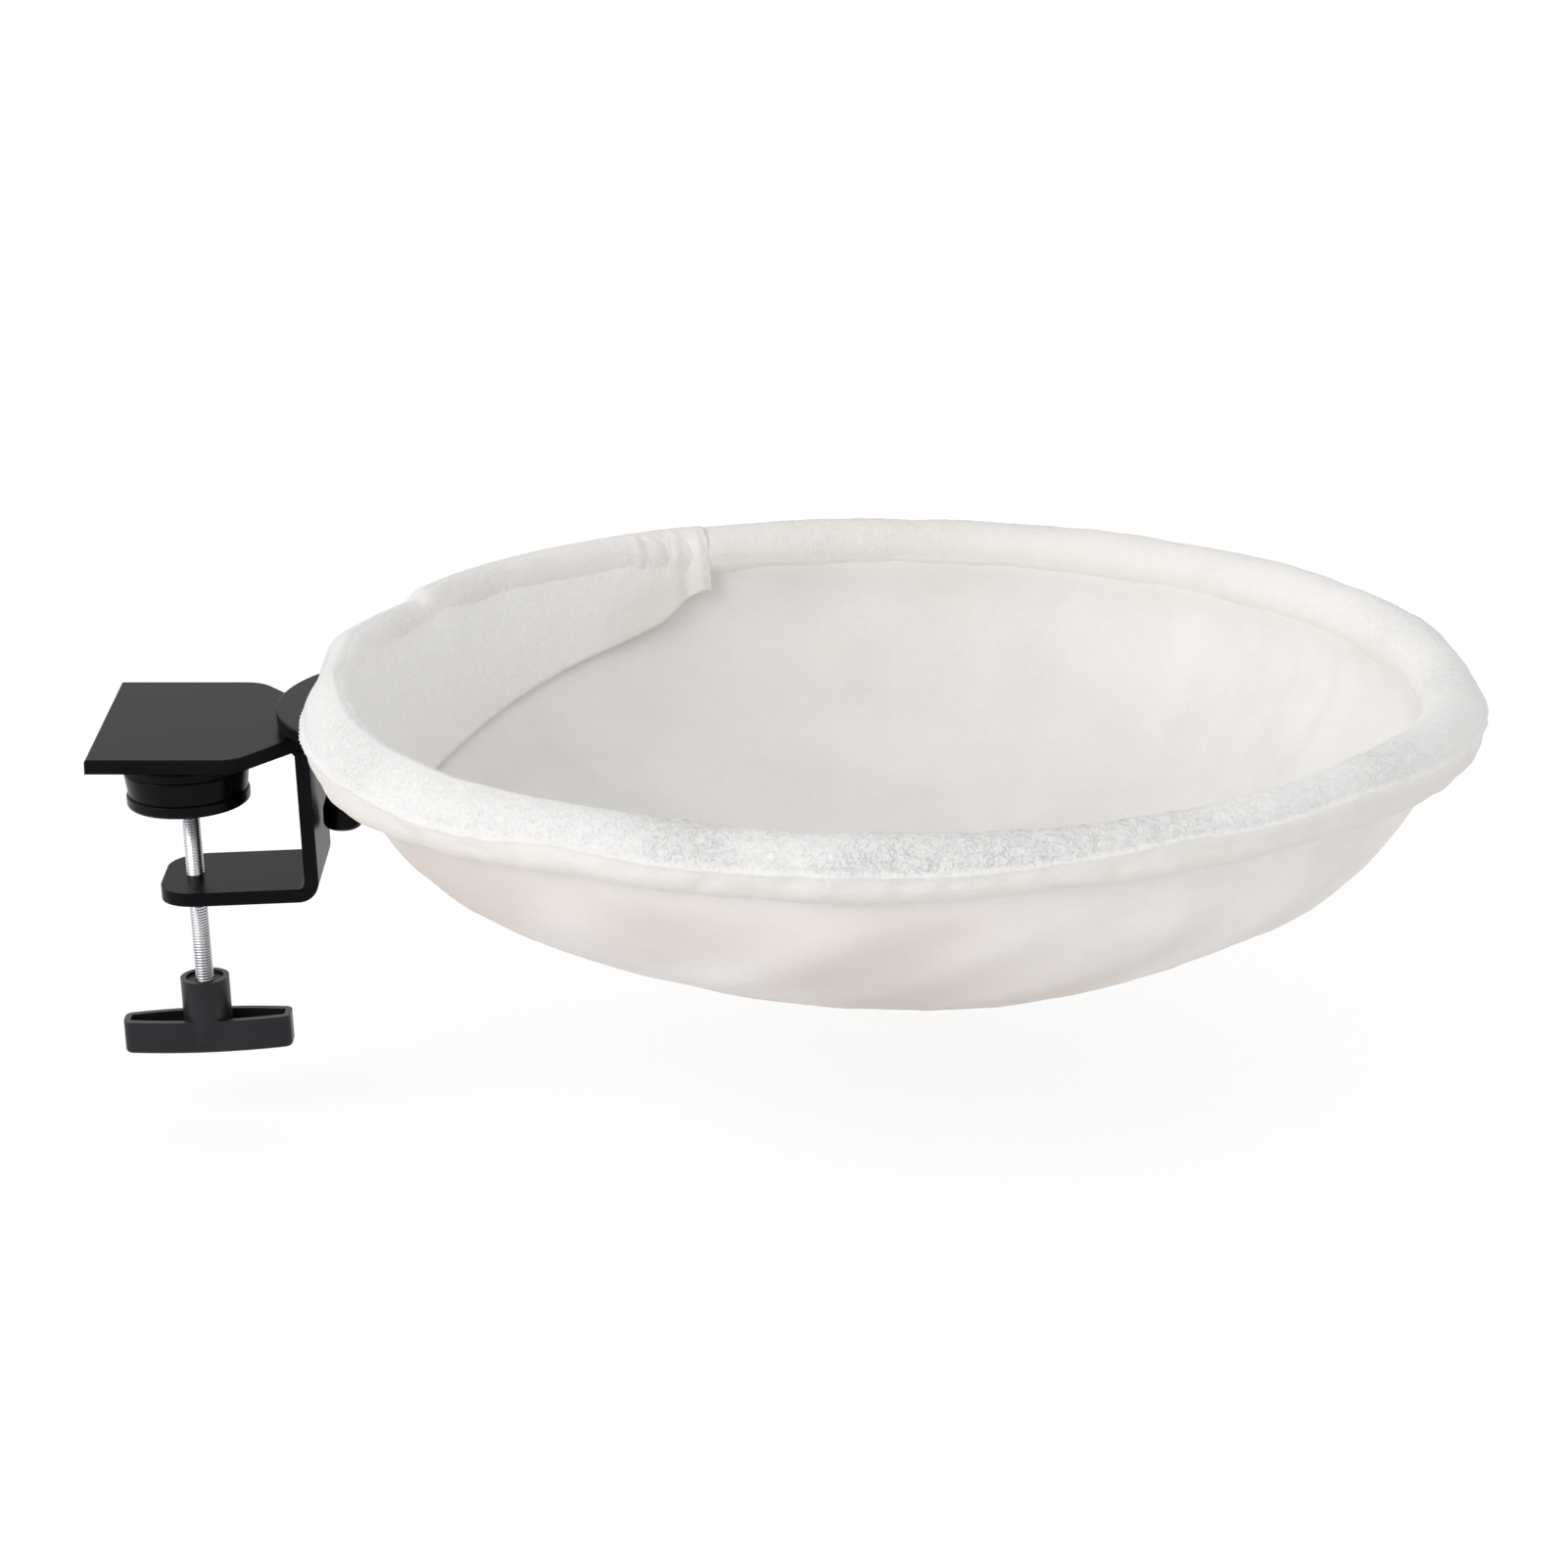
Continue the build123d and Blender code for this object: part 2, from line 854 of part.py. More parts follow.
def gather_folds():
    # Puckers at the flap's back end, where its cloth is drawn together
    folds = []
    for share in gather_place_shares:
        angle = flap_start_deg + share * gather_span_deg
        fold = Cylinder(gather_fold_radius, gather_fold_height)
        fold = fillet(fold.edges(), gather_fold_radius * gather_round_share)
        r = hoop_radius - hem_radius - cloth_gap - gather_fold_radius
        place = Pos(bed_x, 0, hoop_z - gather_drop) * Rot(0, 0, angle) * Pos(r, 0, 0)
        folds.append(place * Rot(gather_lean_deg, 0, 0) * fold)
    return folds


parts = {
    "top_plate": top_plate,
    "strap_and_jaw": strap_and_jaw,
    "weld_beads": weld_beads,
    "clamp_screw": clamp_screw,
    "ball_tip": ball_tip,
    "pressure_pad": pressure_pad,
    "pad_face": pad_face,
    "pad_retainer": pad_retainer,
    "t_handle": t_handle,
    "handle_insert": handle_insert,
    "friction_pad": friction_pad,
    "plain_washer": plain_washer,
    "spring_washer": spring_washer,
    "lock_knob": lock_knob,
    "knob_insert": knob_insert,
    "pivot_bolt": pivot_bolt,
    "hub_plate": hub_plate,
    "hoop_sockets": hoop_sockets,
    "socket_screws": socket_screws,
    "hoop_front_half": lambda: hoop_half(-1),
    "hoop_back_half": lambda: hoop_half(1),
    "hoop_joiner": hoop_joiner,
    "foam_ring": foam_ring,
    "hem_cover": hem_cover,
    "bowl_cover": bowl_cover,
    "bowl_lining": bowl_lining,
    "hem_flap": hem_flap,
}

os.makedirs("parts", exist_ok=True)
for name, make in parts.items():
    made = make()
    if isinstance(made, list):
        made = Compound(children=made)
    export_step(made, f"parts/{name}.step")
    print(name, round(made.volume))
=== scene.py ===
import functools
import json
import math
import bmesh
import bpy
from mathutils import Matrix, Vector, noise


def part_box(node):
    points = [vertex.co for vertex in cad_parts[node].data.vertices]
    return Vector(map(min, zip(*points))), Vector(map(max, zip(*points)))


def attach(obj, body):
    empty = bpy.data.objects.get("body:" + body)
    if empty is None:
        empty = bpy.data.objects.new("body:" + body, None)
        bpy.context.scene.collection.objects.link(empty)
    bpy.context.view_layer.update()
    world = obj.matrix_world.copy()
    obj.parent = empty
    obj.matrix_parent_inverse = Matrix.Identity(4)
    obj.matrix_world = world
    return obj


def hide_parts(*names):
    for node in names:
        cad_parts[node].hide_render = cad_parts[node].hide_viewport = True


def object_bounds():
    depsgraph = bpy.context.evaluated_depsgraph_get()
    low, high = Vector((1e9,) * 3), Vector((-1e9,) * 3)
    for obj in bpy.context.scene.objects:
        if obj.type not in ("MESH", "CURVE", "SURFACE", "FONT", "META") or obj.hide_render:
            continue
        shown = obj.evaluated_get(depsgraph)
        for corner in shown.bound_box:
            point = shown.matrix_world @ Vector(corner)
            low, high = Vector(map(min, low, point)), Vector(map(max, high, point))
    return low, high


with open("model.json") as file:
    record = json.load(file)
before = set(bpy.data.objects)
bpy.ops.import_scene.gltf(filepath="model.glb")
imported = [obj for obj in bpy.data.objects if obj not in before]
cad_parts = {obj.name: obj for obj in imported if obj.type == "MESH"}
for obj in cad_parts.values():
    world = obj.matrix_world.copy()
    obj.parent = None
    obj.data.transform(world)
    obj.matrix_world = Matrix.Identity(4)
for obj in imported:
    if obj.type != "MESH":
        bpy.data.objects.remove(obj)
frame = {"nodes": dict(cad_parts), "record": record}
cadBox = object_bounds()
nodes = frame["nodes"]
print("frame loaded")


# Places read from the frame, the sag of the cloth, and a floor below the lowered handle
hemLow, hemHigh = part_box("hem_cover")
bedX = (hemLow.x + hemHigh.x) / 2
tubeRadius = (hemHigh.z - hemLow.z) / 2
hoopRadius = (hemHigh.x - hemLow.x) / 2 - tubeRadius
pivotX = bedX - hoopRadius
bedSag = 0.002
rimZ = (hemLow.z + hemHigh.z) / 2 - bedSag
handleFall = 0.0305
floorZ = cadBox[0][2] - handleFall
mergeGap = 1e-6


def smoothStep(low, high, value):
    share = min(max((value - low) / (high - low), 0), 1)
    return share * share * (3 - 2 * share)


def between(rise, fall, value):
    # 1 between two soft steps, 0 outside them
    return smoothStep(*rise, value) * (1 - smoothStep(*fall, value))


def bell(value, centre, width):
    # 1 at the centre, fading to 0 on both sides
    return math.exp(-(((value - centre) / width) ** 2))


def halfTurn(angleDeg):
    # The same angle, between -180 and 180
    return (angleDeg + 180) % 360 - 180


def near(angleDeg, centreDeg, widthDeg):
    # 1 at one place on the hoop, fading to 0 on both sides
    return bell(halfTurn(angleDeg - centreDeg), 0, widthDeg)


def fromTable(table, angleDeg):
    # A smooth curve through stops round the hoop, 0 at the right and 90 at the back
    angle = halfTurn(angleDeg)
    first, last = table[0], table[-1]
    stops = ((last[0] - 360, last[1]), *table, (first[0] + 360, first[1]),
             (table[1][0] + 360, table[1][1]))
    index = next(i for i in range(1, len(stops) - 2) if angle <= stops[i + 1][0])
    before, start, end, after = stops[index - 1:index + 3]
    span = end[0] - start[0]
    leave = (end[1] - before[1]) / (end[0] - before[0]) * span
    arrive = (after[1] - start[1]) / (after[0] - start[0]) * span
    t = (angle - start[0]) / span
    rise = t * t * (3 - 2 * t)
    return (start[1] * (1 - rise) + end[1] * rise
            + leave * t * (1 - t) ** 2 - arrive * t * t * (1 - t))


def lumps(place, size, seed):
    # Soft noise from about -1 to 1; each seed reads another part of it
    return noise.noise(place / size + Vector((seed * 7.3, seed * 3.1, seed * 5.7)))


def curls(place, size, seed):
    # Little ridges that wind about, as the curls of a short pile
    return 1 - 2 * abs(lumps(place, size, seed)) ** 0.7


def layered(pattern, place, layers):
    # One pattern in several layers, each with its height, size and seed
    return sum(height * pattern(place, size, seed) for height, size, seed in layers)


def polar(place):
    angle = math.degrees(math.atan2(place.y, place.x - bedX)) % 360
    return angle, math.hypot(place.x - bedX, place.y)


def atPolar(angleDeg, reach, height):
    turn = math.radians(angleDeg)
    return Vector((bedX + reach * math.cos(turn), reach * math.sin(turn), height))


def drawLine(bm, places):
    # Points joined one after another by edges
    points = [bm.verts.new(place) for place in places]
    for first, second in zip(points, points[1:]):
        bm.edges.new((first, second))


def spinHoop(bm, steps):
    bmesh.ops.spin(bm, geom=bm.verts[:] + bm.edges[:], cent=(bedX, 0, 0), axis=(0, 0, 1),
                   angle=2 * math.pi, steps=steps, use_merge=True)
    bmesh.ops.remove_doubles(bm, verts=bm.verts, dist=mergeGap)


def newPiece(bm, name, material, body):
    mesh = bpy.data.meshes.new(name)
    bm.to_mesh(mesh)
    bm.free()
    mesh.materials.append(material)
    mesh.shade_smooth()
    piece = bpy.data.objects.new(name, mesh)
    bpy.context.scene.collection.objects.link(piece)
    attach(piece, body)
    return piece


def addWall(piece, thickness):
    # The wall grows inwards, so the side that shows stays where it is
    wall = piece.modifiers.new("wall", "SOLIDIFY")
    wall.thickness = thickness
    wall.offset = -1


# Materials

class Nodes:
    # A material's node tree, built from short calls
    def __init__(self, name):
        self.material = bpy.data.materials.new(name)
        self.material.use_nodes = True
        self.tree = self.material.node_tree
        self.shader = self.tree.nodes["Principled BSDF"]
        self.place = self.tree.nodes.new("ShaderNodeTexCoord").outputs["Object"]

    def put(self, socket, value):
        if isinstance(value, bpy.types.NodeSocket):
            self.tree.links.new(value, socket)
        else:
            socket.default_value = value

    def add(self, kind, inputs=None, **settings):
        node = self.tree.nodes.new(kind)
        for key, value in settings.items():
            setattr(node, key, value)
        for key, value in (inputs or {}).items():
            self.put(node.inputs[key], value)
        return node

    def grain(self, scale, detail=3.0, rough=0.5, twist=0.0, place=None):
        return self.add("ShaderNodeTexNoise", {
            "Vector": place or self.place, "Scale": scale, "Detail": detail,
            "Roughness": rough, "Distortion": twist,
        }).outputs["Fac"]

    def painted(self, name):
        return self.add("ShaderNodeAttribute", attribute_name=name).outputs["Fac"]

    def ramp(self, factor, low, high, stops=(0.0, 1.0)):
        node = self.add("ShaderNodeValToRGB", {"Fac": factor})
        for element, color, position in zip(node.color_ramp.elements, (low, high), stops):
            element.color = (*color, 1)
            element.position = position
        return node.outputs["Color"]

    def span(self, factor, low, high):
        return self.add("ShaderNodeMapRange", {
            "Value": factor, "To Min": low, "To Max": high,
        }).outputs["Result"]

    def math(self, operation, first, second):
        return self.add("ShaderNodeMath", {0: first, 1: second}, operation=operation).outputs[0]

    def mixed(self, first, second, firstShare):
        return self.math("ADD", self.math("MULTIPLY", first, firstShare),
                         self.math("MULTIPLY", second, 1 - firstShare))

    def blend(self, factor, tone, color):
        # Inputs 6 and 7 and output 2 of a Mix node are its colours
        node = self.add("ShaderNodeMix", {"Factor": factor, 6: tone, 7: (*color, 1)},
                        data_type="RGBA")
        return node.outputs[2]

    def bump(self, height, strength, distance):
        return self.add("ShaderNodeBump", {
            "Height": height, "Strength": strength, "Distance": distance,
        }).outputs["Normal"]

    def finish(self, color, roughness, normal=None, **fixed):
        self.put(self.shader.inputs["Base Color"], color)
        self.put(self.shader.inputs["Roughness"], roughness)
        if normal:
            self.put(self.shader.inputs["Normal"], normal)
        for key, value in fixed.items():
            self.shader.inputs[key.replace("_", " ")].default_value = value
        return self.material


# Each look's tan colour is what painted shade blends towards; on the cloth it also gives a random
# mottle
plushLook = {
    "light": (0.92, 0.912, 0.902), "shade": (0.70, 0.697, 0.69), "tanAndShadeColor": (0.84, 0.80, 0.765),
    "stops": (0.32, 0.51), "curlScale": 350, "curlTwist": 1.8, "curlPart": 0.7,
    "fibreScale": 1000, "fibreTwist": 0.8, "bump": 0.8, "depth": 0.0024, "sheen": 0.15,
}
clothLook = {
    "light": (0.91, 0.88, 0.86), "shade": (0.85, 0.815, 0.79), "tanAndShadeColor": (0.74, 0.67, 0.62),
    "napScale": 700, "tuftScale": 210, "mottleScale": 22, "depth": 0.0006,
}
# The lining's colours are darker than the cover's, partly as painted shade for the inside of the
# bowl
liningShadedLook = {
    "light": (0.84, 0.827, 0.812), "shade": (0.785, 0.77, 0.752), "tanAndShadeColor": (0.80, 0.74, 0.68),
    "napScale": 650, "tuftScale": 190, "mottleScale": 16, "depth": 0.0008,
}
wovenLook = {"stops": (0.36, 0.58), "mottlePart": 0.7, "napPart": 0.5, "bump": 0.55, "sheen": 0.12}
softLook = {"roughness": 0.95, "sheenRoughness": 0.5, "specular": 0.15}


def softFinish(n, color, normal, sheen):
    return n.finish(color, softLook["roughness"], normal, Sheen_Weight=sheen,
                    Sheen_Roughness=softLook["sheenRoughness"],
                    Specular_IOR_Level=softLook["specular"])


def plushMaterial():
    look = plushLook
    n = Nodes("whitePlush")
    curl = n.grain(look["curlScale"], rough=0.6, twist=look["curlTwist"])
    fibre = n.grain(look["fibreScale"], rough=0.6, twist=look["fibreTwist"])
    mixed = n.mixed(curl, fibre, look["curlPart"])
    swing = n.math("MULTIPLY", n.math("SUBTRACT", mixed, 0.5), n.painted("curl"))
    pile = n.math("ADD", swing, 0.5)
    tone = n.ramp(pile, look["shade"], look["light"], look["stops"])
    # The painted attribute blends in the tan as painted shade
    color = n.blend(n.painted("tanAndShadeShare"), tone, look["tanAndShadeColor"])
    return softFinish(n, color, n.bump(pile, look["bump"], look["depth"]), look["sheen"])


def clothMaterial(name, look):
    n = Nodes(name)
    nap = n.grain(look["napScale"], rough=0.6, twist=0.6)
    tuft = n.grain(look["tuftScale"], rough=0.6, twist=0.4)
    mottle = n.grain(look["mottleScale"], detail=4, rough=0.6)
    both = n.mixed(nap, tuft, wovenLook["napPart"])
    tone = n.ramp(n.mixed(mottle, both, wovenLook["mottlePart"]),
                  look["shade"], look["light"], wovenLook["stops"])
    # The painted attribute blends in the tan: painted shade in fold valleys and under the roll,
    # less of it as painted light, and a random mottle
    color = n.blend(n.painted("tanAndShadeShare"), tone, look["tanAndShadeColor"])
    return softFinish(n, color, n.bump(both, wovenLook["bump"], look["depth"]),
                      wovenLook["sheen"])


def foamMaterial():
    n = Nodes("paddingFoam")
    cells = n.add("ShaderNodeTexVoronoi", {"Vector": n.place, "Scale": 900}).outputs["Distance"]
    color = n.ramp(cells, (0.78, 0.75, 0.68), (0.86, 0.84, 0.79))
    return n.finish(color, roughness=0.9, normal=n.bump(cells, strength=0.5, distance=0.0004))


coatLook = {
    "dark": (0.0045, 0.0047, 0.006), "light": (0.0075, 0.0078, 0.0095), "stops": (0.35, 0.7),
    "peelScale": 1100, "wearScale": 20, "roughness": (0.27, 0.36), "specular": 0.045,
    "tint": (0.90, 0.88, 1.0, 1.0),
}
plasticLook = {
    "stops": (0.3, 0.7), "grainScale": 1500, "flowScale": 35, "lighter": 1.5, "bluer": 1.1,
    "roughnessSpan": 0.1, "tint": (0.92, 0.90, 1.0, 1.0),
}
blackLook = {"bump": 0.1, "depth": 0.00015}


def powderCoat():
    look = coatLook
    n = Nodes("powderCoat")
    peel = n.grain(look["peelScale"], detail=2)
    wear = n.grain(look["wearScale"], detail=4, rough=0.6)
    color = n.ramp(wear, look["dark"], look["light"], look["stops"])
    return n.finish(color, n.span(wear, *look["roughness"]),
                    n.bump(peel, blackLook["bump"], blackLook["depth"]),
                    Specular_IOR_Level=look["specular"], Specular_Tint=look["tint"])


def blackPlastic(name, shade, specular, roughness):
    look = plasticLook
    n = Nodes(name)
    grain = n.grain(look["grainScale"], detail=2)
    flow = n.grain(look["flowScale"])
    bright = shade * look["lighter"]
    color = n.ramp(flow, (shade, shade, shade * look["bluer"]),
                   (bright, bright, bright * look["bluer"]), look["stops"])
    return n.finish(color, n.span(flow, roughness, roughness + look["roughnessSpan"]),
                    n.bump(grain, blackLook["bump"], blackLook["depth"]),
                    Specular_IOR_Level=specular, Specular_Tint=look["tint"])


def blackRubber():
    n = Nodes("blackRubber")
    dust = n.grain(160, detail=4, rough=0.6)
    color = n.ramp(dust, (0.004, 0.004, 0.004), (0.009, 0.009, 0.009), (0.4, 0.75))
    return n.finish(color, roughness=0.6, normal=n.bump(dust, strength=0.15, distance=0.0002),
                    Specular_IOR_Level=0.08)


# The root colour is painted shade in the grooves of the thread
zincLook = {
    "dark": (0.72, 0.73, 0.76), "light": (0.88, 0.885, 0.90), "rootShade": (0.05, 0.055, 0.065),
    "stops": (0.35, 0.65), "brushScale": 1500, "brushLength": 0.08, "toneScale": 60,
    "roughness": (0.22, 0.38), "bump": 0.05, "depth": 0.0001,
}


def zincSteel():
    look = zincLook
    n = Nodes("zincSteel")
    streak = n.add("ShaderNodeMapping", {"Vector": n.place, "Scale": (1, 1, look["brushLength"])})
    brushed = n.grain(look["brushScale"], detail=2, place=streak.outputs["Vector"])
    tone = n.grain(look["toneScale"])
    bright = n.ramp(tone, look["dark"], look["light"], look["stops"])
    # Painted shade darkens the thread's roots
    color = n.blend(n.painted("rootShade"), bright, look["rootShade"])
    return n.finish(color, n.span(brushed, *look["roughness"]),
                    n.bump(brushed, look["bump"], look["depth"]), Metallic=1.0)


finishes = {
    "powder_coat": powderCoat(), "zinc_steel": zincSteel(),
    "black_plastic": blackPlastic("blackPlastic", shade=0.0095, specular=0.28, roughness=0.32),
    "black_rubber": blackRubber(), "padding_foam": foamMaterial(),
    "white_plush": plushMaterial(), "white_cloth": clothMaterial("whiteCloth", clothLook),
}
# The lining's material, darker partly as painted shade inside the bowl
liningShadedPlush = clothMaterial("liningShadedPlush", liningShadedLook)
# A darker copy of the black plastic: painted shade for the pad and the knob under the plate, and
# the insert's own black
darkShadedPad = blackPlastic("darkShadedPadPlastic", shade=0.0035, specular=0.08, roughness=0.2)
for part in frame["record"]["subparts"]:
    for slot in nodes[part["node"]].material_slots:
        slot.material = finishes[part["material_slot"]]
# The pad and the knob get this copy as painted shade under the plate; the handle's insert is black
for name in ("pressure_pad", "lock_knob", "handle_insert"):
    for slot in nodes[name].material_slots:
        slot.material = darkShadedPad
print("materials made")


# Padded hem roll: the tables give its section round the hoop, in mm from the tube's middle,
# and seamDeg where the seam lies round the section; pairs ending in Deg are place and width

hemRoll = {
    "top": ((-180, 11.4), (-176, 12.8), (-172.2, 14.2), (-166, 12.6), (-159, 10.8),
            (-140, 10.4), (-122, 12.4), (-92, 13.2), (-62, 14.2), (-40, 17.2), (-24, 15.2),
            (0, 10.6), (14, 13.4), (60, 13.4), (110, 13.3), (151.8, 13.2), (154, 10.4),
            (161, 10.8), (165, 12.2), (169, 13.4), (172.2, 13.8), (176.5, 11.4)),
    "bottom": ((-180, 11.6), (-173, 12.0), (-165, 20.0), (-156, 24.6), (-148, 22.8), (-141, 21),
               (-135, 19), (-128, 16), (-120, 13.9), (-100, 13.3), (-92, 12.8), (-82, 10.6),
               (-74, 9.2), (-65, 8.6), (-53, 7.8), (-43, 7.8), (-32, 10.2), (-15, 13.2),
               (0, 13.6), (30, 11.0), (90, 9.6), (140, 10.4), (155, 14), (166, 15), (174, 12.8)),
    "outside": ((-180, 11.0), (-176, 12.2), (-172, 14.4), (-165, 16.0), (-150, 15.0),
                (-118, 13.0), (-60, 12.8), (-20, 14.0), (0, 14.6), (20, 14.0), (60, 12.8),
                (150, 12.4), (158, 11.2), (164, 12.2), (169, 14.2), (172.2, 12.8), (176, 10.8)),
    "inside": ((-180, 9.2), (-130, 9.2), (-108, 12.6), (0, 12.8), (108, 12.8), (116, 11.0),
               (124, 9.2)),
    "droop": ((-180, 2.6), (-173, 3.0), (-162, 8.5), (-146, 7.0), (-126, 2.5), (-100, 0.5),
              (-60, 0), (-20, 1.5), (0, 3.5), (25, 1.0), (120, 0), (150, 0.8), (166, 0.6),
              (173, 1.6)),
    "seamDeg": ((-180, 0), (-168, 2), (-152, 8), (-138, -2), (-130, 2), (-123, 12), (-112, 5),
                (-100, 5), (-85, 9), (-72, 22), (-65, 30), (-55, 24), (-45, 28), (-30, 18),
                (0, 8), (90, 5)),
    "droopCurve": 1.2, "droopFade": 0.5, "notchDeg": (153.3, 1.5), "notchDepth": 0.13,
    "gatherDeg": (117, 4.5), "puckerWidthDeg": 0.9,
    "puckersDeg": (-90.8, -108.5, -71, -127, -50.5, -140, -33),
    "steps": 280, "cuts": 3, "sides": 84, "crowdDeg": 28, "fill": 0.7,
}

# The pile on the roll and the flap: heights and sizes in m, places from the seam in degrees
hemPile = {
    "lumps": ((0.0009, 0.05, 1), (0.0006, 0.018, 2)),
    "tufts": ((0.0005, 0.0048, 3), (0.00034, 0.0027, 4)),
    "nap": ((0.0002, 0.0035, 5),), "starts": (-2, 12), "ends": (150, 176),
    "welt": 0.0015, "weltAt": (0, 4.2), "stitch": 0.0036, "stitchPart": 0.25,
    "groove": 0.0006, "grooveAt": (10, 5),
    "crumple": 0.0007, "crumpleAt": (-17, 11), "crumpleLumps": ((1.1, 0.008, 6),),
    "lip": ((0.0010, 0.013, 8),), "lipAt": (-100, -35),
    "pucker": 0.0011, "puckerAt": (-34, 22), "gatherAt": (30, 65), "gatherFrom": 0.02,
    "leastCurl": 0.3, "frontCurl": 0.7, "frontDeg": (262, 46),
    "patchSize": 0.045, "patchSeed": 41, "patchEdge": (-0.25, 0.4), "patchPart": 0.35,
    "patchCurl": 0.25, "weltCurl": 0.25,
    # Painted shade on the roll: a tan below the seam, on the inside by the lining, and on the back
    "shadeBelow": 0.95, "shadeBelowAt": (-14, 4), "shadeInside": 0.25, "shadeInsideAt": (150, 178),
    "shadeBack": 0.85, "shadeBackDeg": (90, 60), "shadeBackAt": (-14, 8),
}
gather = {
    "atDeg": 112.6, "spreadDeg": 2.5, "closeDeg": 1.5, "height": 0.0006, "fade": (0.35, 0.7),
    "between": 0.5, "betweenTurns": 1.65, "betweenShift": 1,
}


@functools.lru_cache(maxsize=None)
def rollShape(angleDeg):
    keys = ("top", "bottom", "outside", "inside", "droop")
    shape = {key: fromTable(hemRoll[key], angleDeg) / 1000 for key in keys}
    shape["seamDeg"] = fromTable(hemRoll["seamDeg"], angleDeg)
    shape["notch"] = near(angleDeg, *hemRoll["notchDeg"])
    shape["gather"] = near(angleDeg, *hemRoll["gatherDeg"])
    shape["pucker"] = max(near(angleDeg, place, hemRoll["puckerWidthDeg"])
                          for place in hemRoll["puckersDeg"])
    return shape


def rollPoint(angleDeg, sideDeg, puff=0.0):
    shape = rollShape(round(angleDeg, 2))
    side = math.radians(sideDeg)
    out, up = math.cos(side), math.sin(side)
    width = shape["outside"] if out > 0 else shape["inside"]
    depth = shape["top"] if up > 0 else shape["bottom"]
    squash = 1 - hemRoll["notchDepth"] * shape["notch"] * max(up, 0)
    reach = hoopRadius + (width + puff) * out * squash
    height = rimZ + (depth + puff) * up * squash
    hang = max(out, 0) ** hemRoll["droopCurve"] * (1 - hemRoll["droopFade"] * abs(up))
    return atPolar(angleDeg, reach, height - shape["droop"] * hang)


def curlShare(place, angleDeg):
    # How curly the pile is: most on the front of the roll, in patches elsewhere
    h = hemPile
    patches = smoothStep(*h["patchEdge"], lumps(place, h["patchSize"], h["patchSeed"]))
    patchy = 1 - h["patchPart"] + h["patchPart"] * patches
    front = h["frontCurl"] * near(angleDeg, *h["frontDeg"]) * patchy
    return h["leastCurl"] + front + h["patchCurl"] * patches


def pileLift(place, angleDeg, sideDeg):
    # Soft lumps, curls of pile, the welt of the seam and the puckers under it
    h = hemPile
    shape = rollShape(round(angleDeg, 2))
    away = halfTurn(sideDeg - shape["seamDeg"])
    lift = layered(lumps, place, h["lumps"])
    pile = between(h["starts"], h["ends"], away)
    lift += pile * layered(curls, place, h["tufts"]) * curlShare(place, angleDeg)
    lift += (1 - pile) * layered(lumps, place, h["nap"])
    stitches = math.radians(angleDeg) * hoopRadius / h["stitch"]
    stitch = 1 - h["stitchPart"] + h["stitchPart"] * math.cos(stitches * 2 * math.pi)
    lift += h["welt"] * stitch * bell(away, *h["weltAt"])
    lift -= h["groove"] * bell(away, *h["grooveAt"])
    crumple = 0.5 + layered(lumps, place, h["crumpleLumps"])
    lift -= h["crumple"] * bell(away, *h["crumpleAt"]) * crumple
    if away < 0:
        lift += layered(lumps, place, h["lip"]) * smoothStep(*h["lipAt"], away)
    lift -= h["pucker"] * shape["pucker"] * bell(away, *h["puckerAt"])
    if shape["gather"] > h["gatherFrom"]:
        lift += shape["gather"] * gatherPleat(angleDeg, 0.0) * smoothStep(*h["gatherAt"], away)
    return lift


def gatherPleat(angleDeg, along):
    # Soft pleats that fan out over the roll and run together at the flap's end
    turn = (angleDeg - gather["atDeg"]) / (gather["spreadDeg"] - gather["closeDeg"] * along)
    turn *= 2 * math.pi
    wave = math.cos(turn)
    wave += gather["between"] * math.cos(turn * gather["betweenTurns"] + gather["betweenShift"])
    return gather["height"] * wave * (1 - smoothStep(*gather["fade"], along))


def tubeRing(bm, sides, turn):
    # A circle round the hoop's line, which stands at the right of the bed before its turn
    ring = bmesh.ops.create_circle(bm, segments=sides, radius=tubeRadius)["verts"]
    stand = Matrix.Translation((bedX + hoopRadius, 0, rimZ)) @ Matrix.Rotation(math.pi / 2, 4, "X")
    bmesh.ops.transform(bm, matrix=turn @ stand, verts=ring)


def tubePlace(place):
    # Where a point is round the hoop and round the tube's section, in degrees
    angle, reach = polar(place)
    return angle, math.degrees(math.atan2(place.z - rimZ, reach - hoopRadius))


def alongHoop(edge):
    first, second = (v.co for v in edge.verts)
    loose = 10 * mergeGap
    return abs(polar(first)[1] - polar(second)[1]) < loose and abs(first.z - second.z) < loose


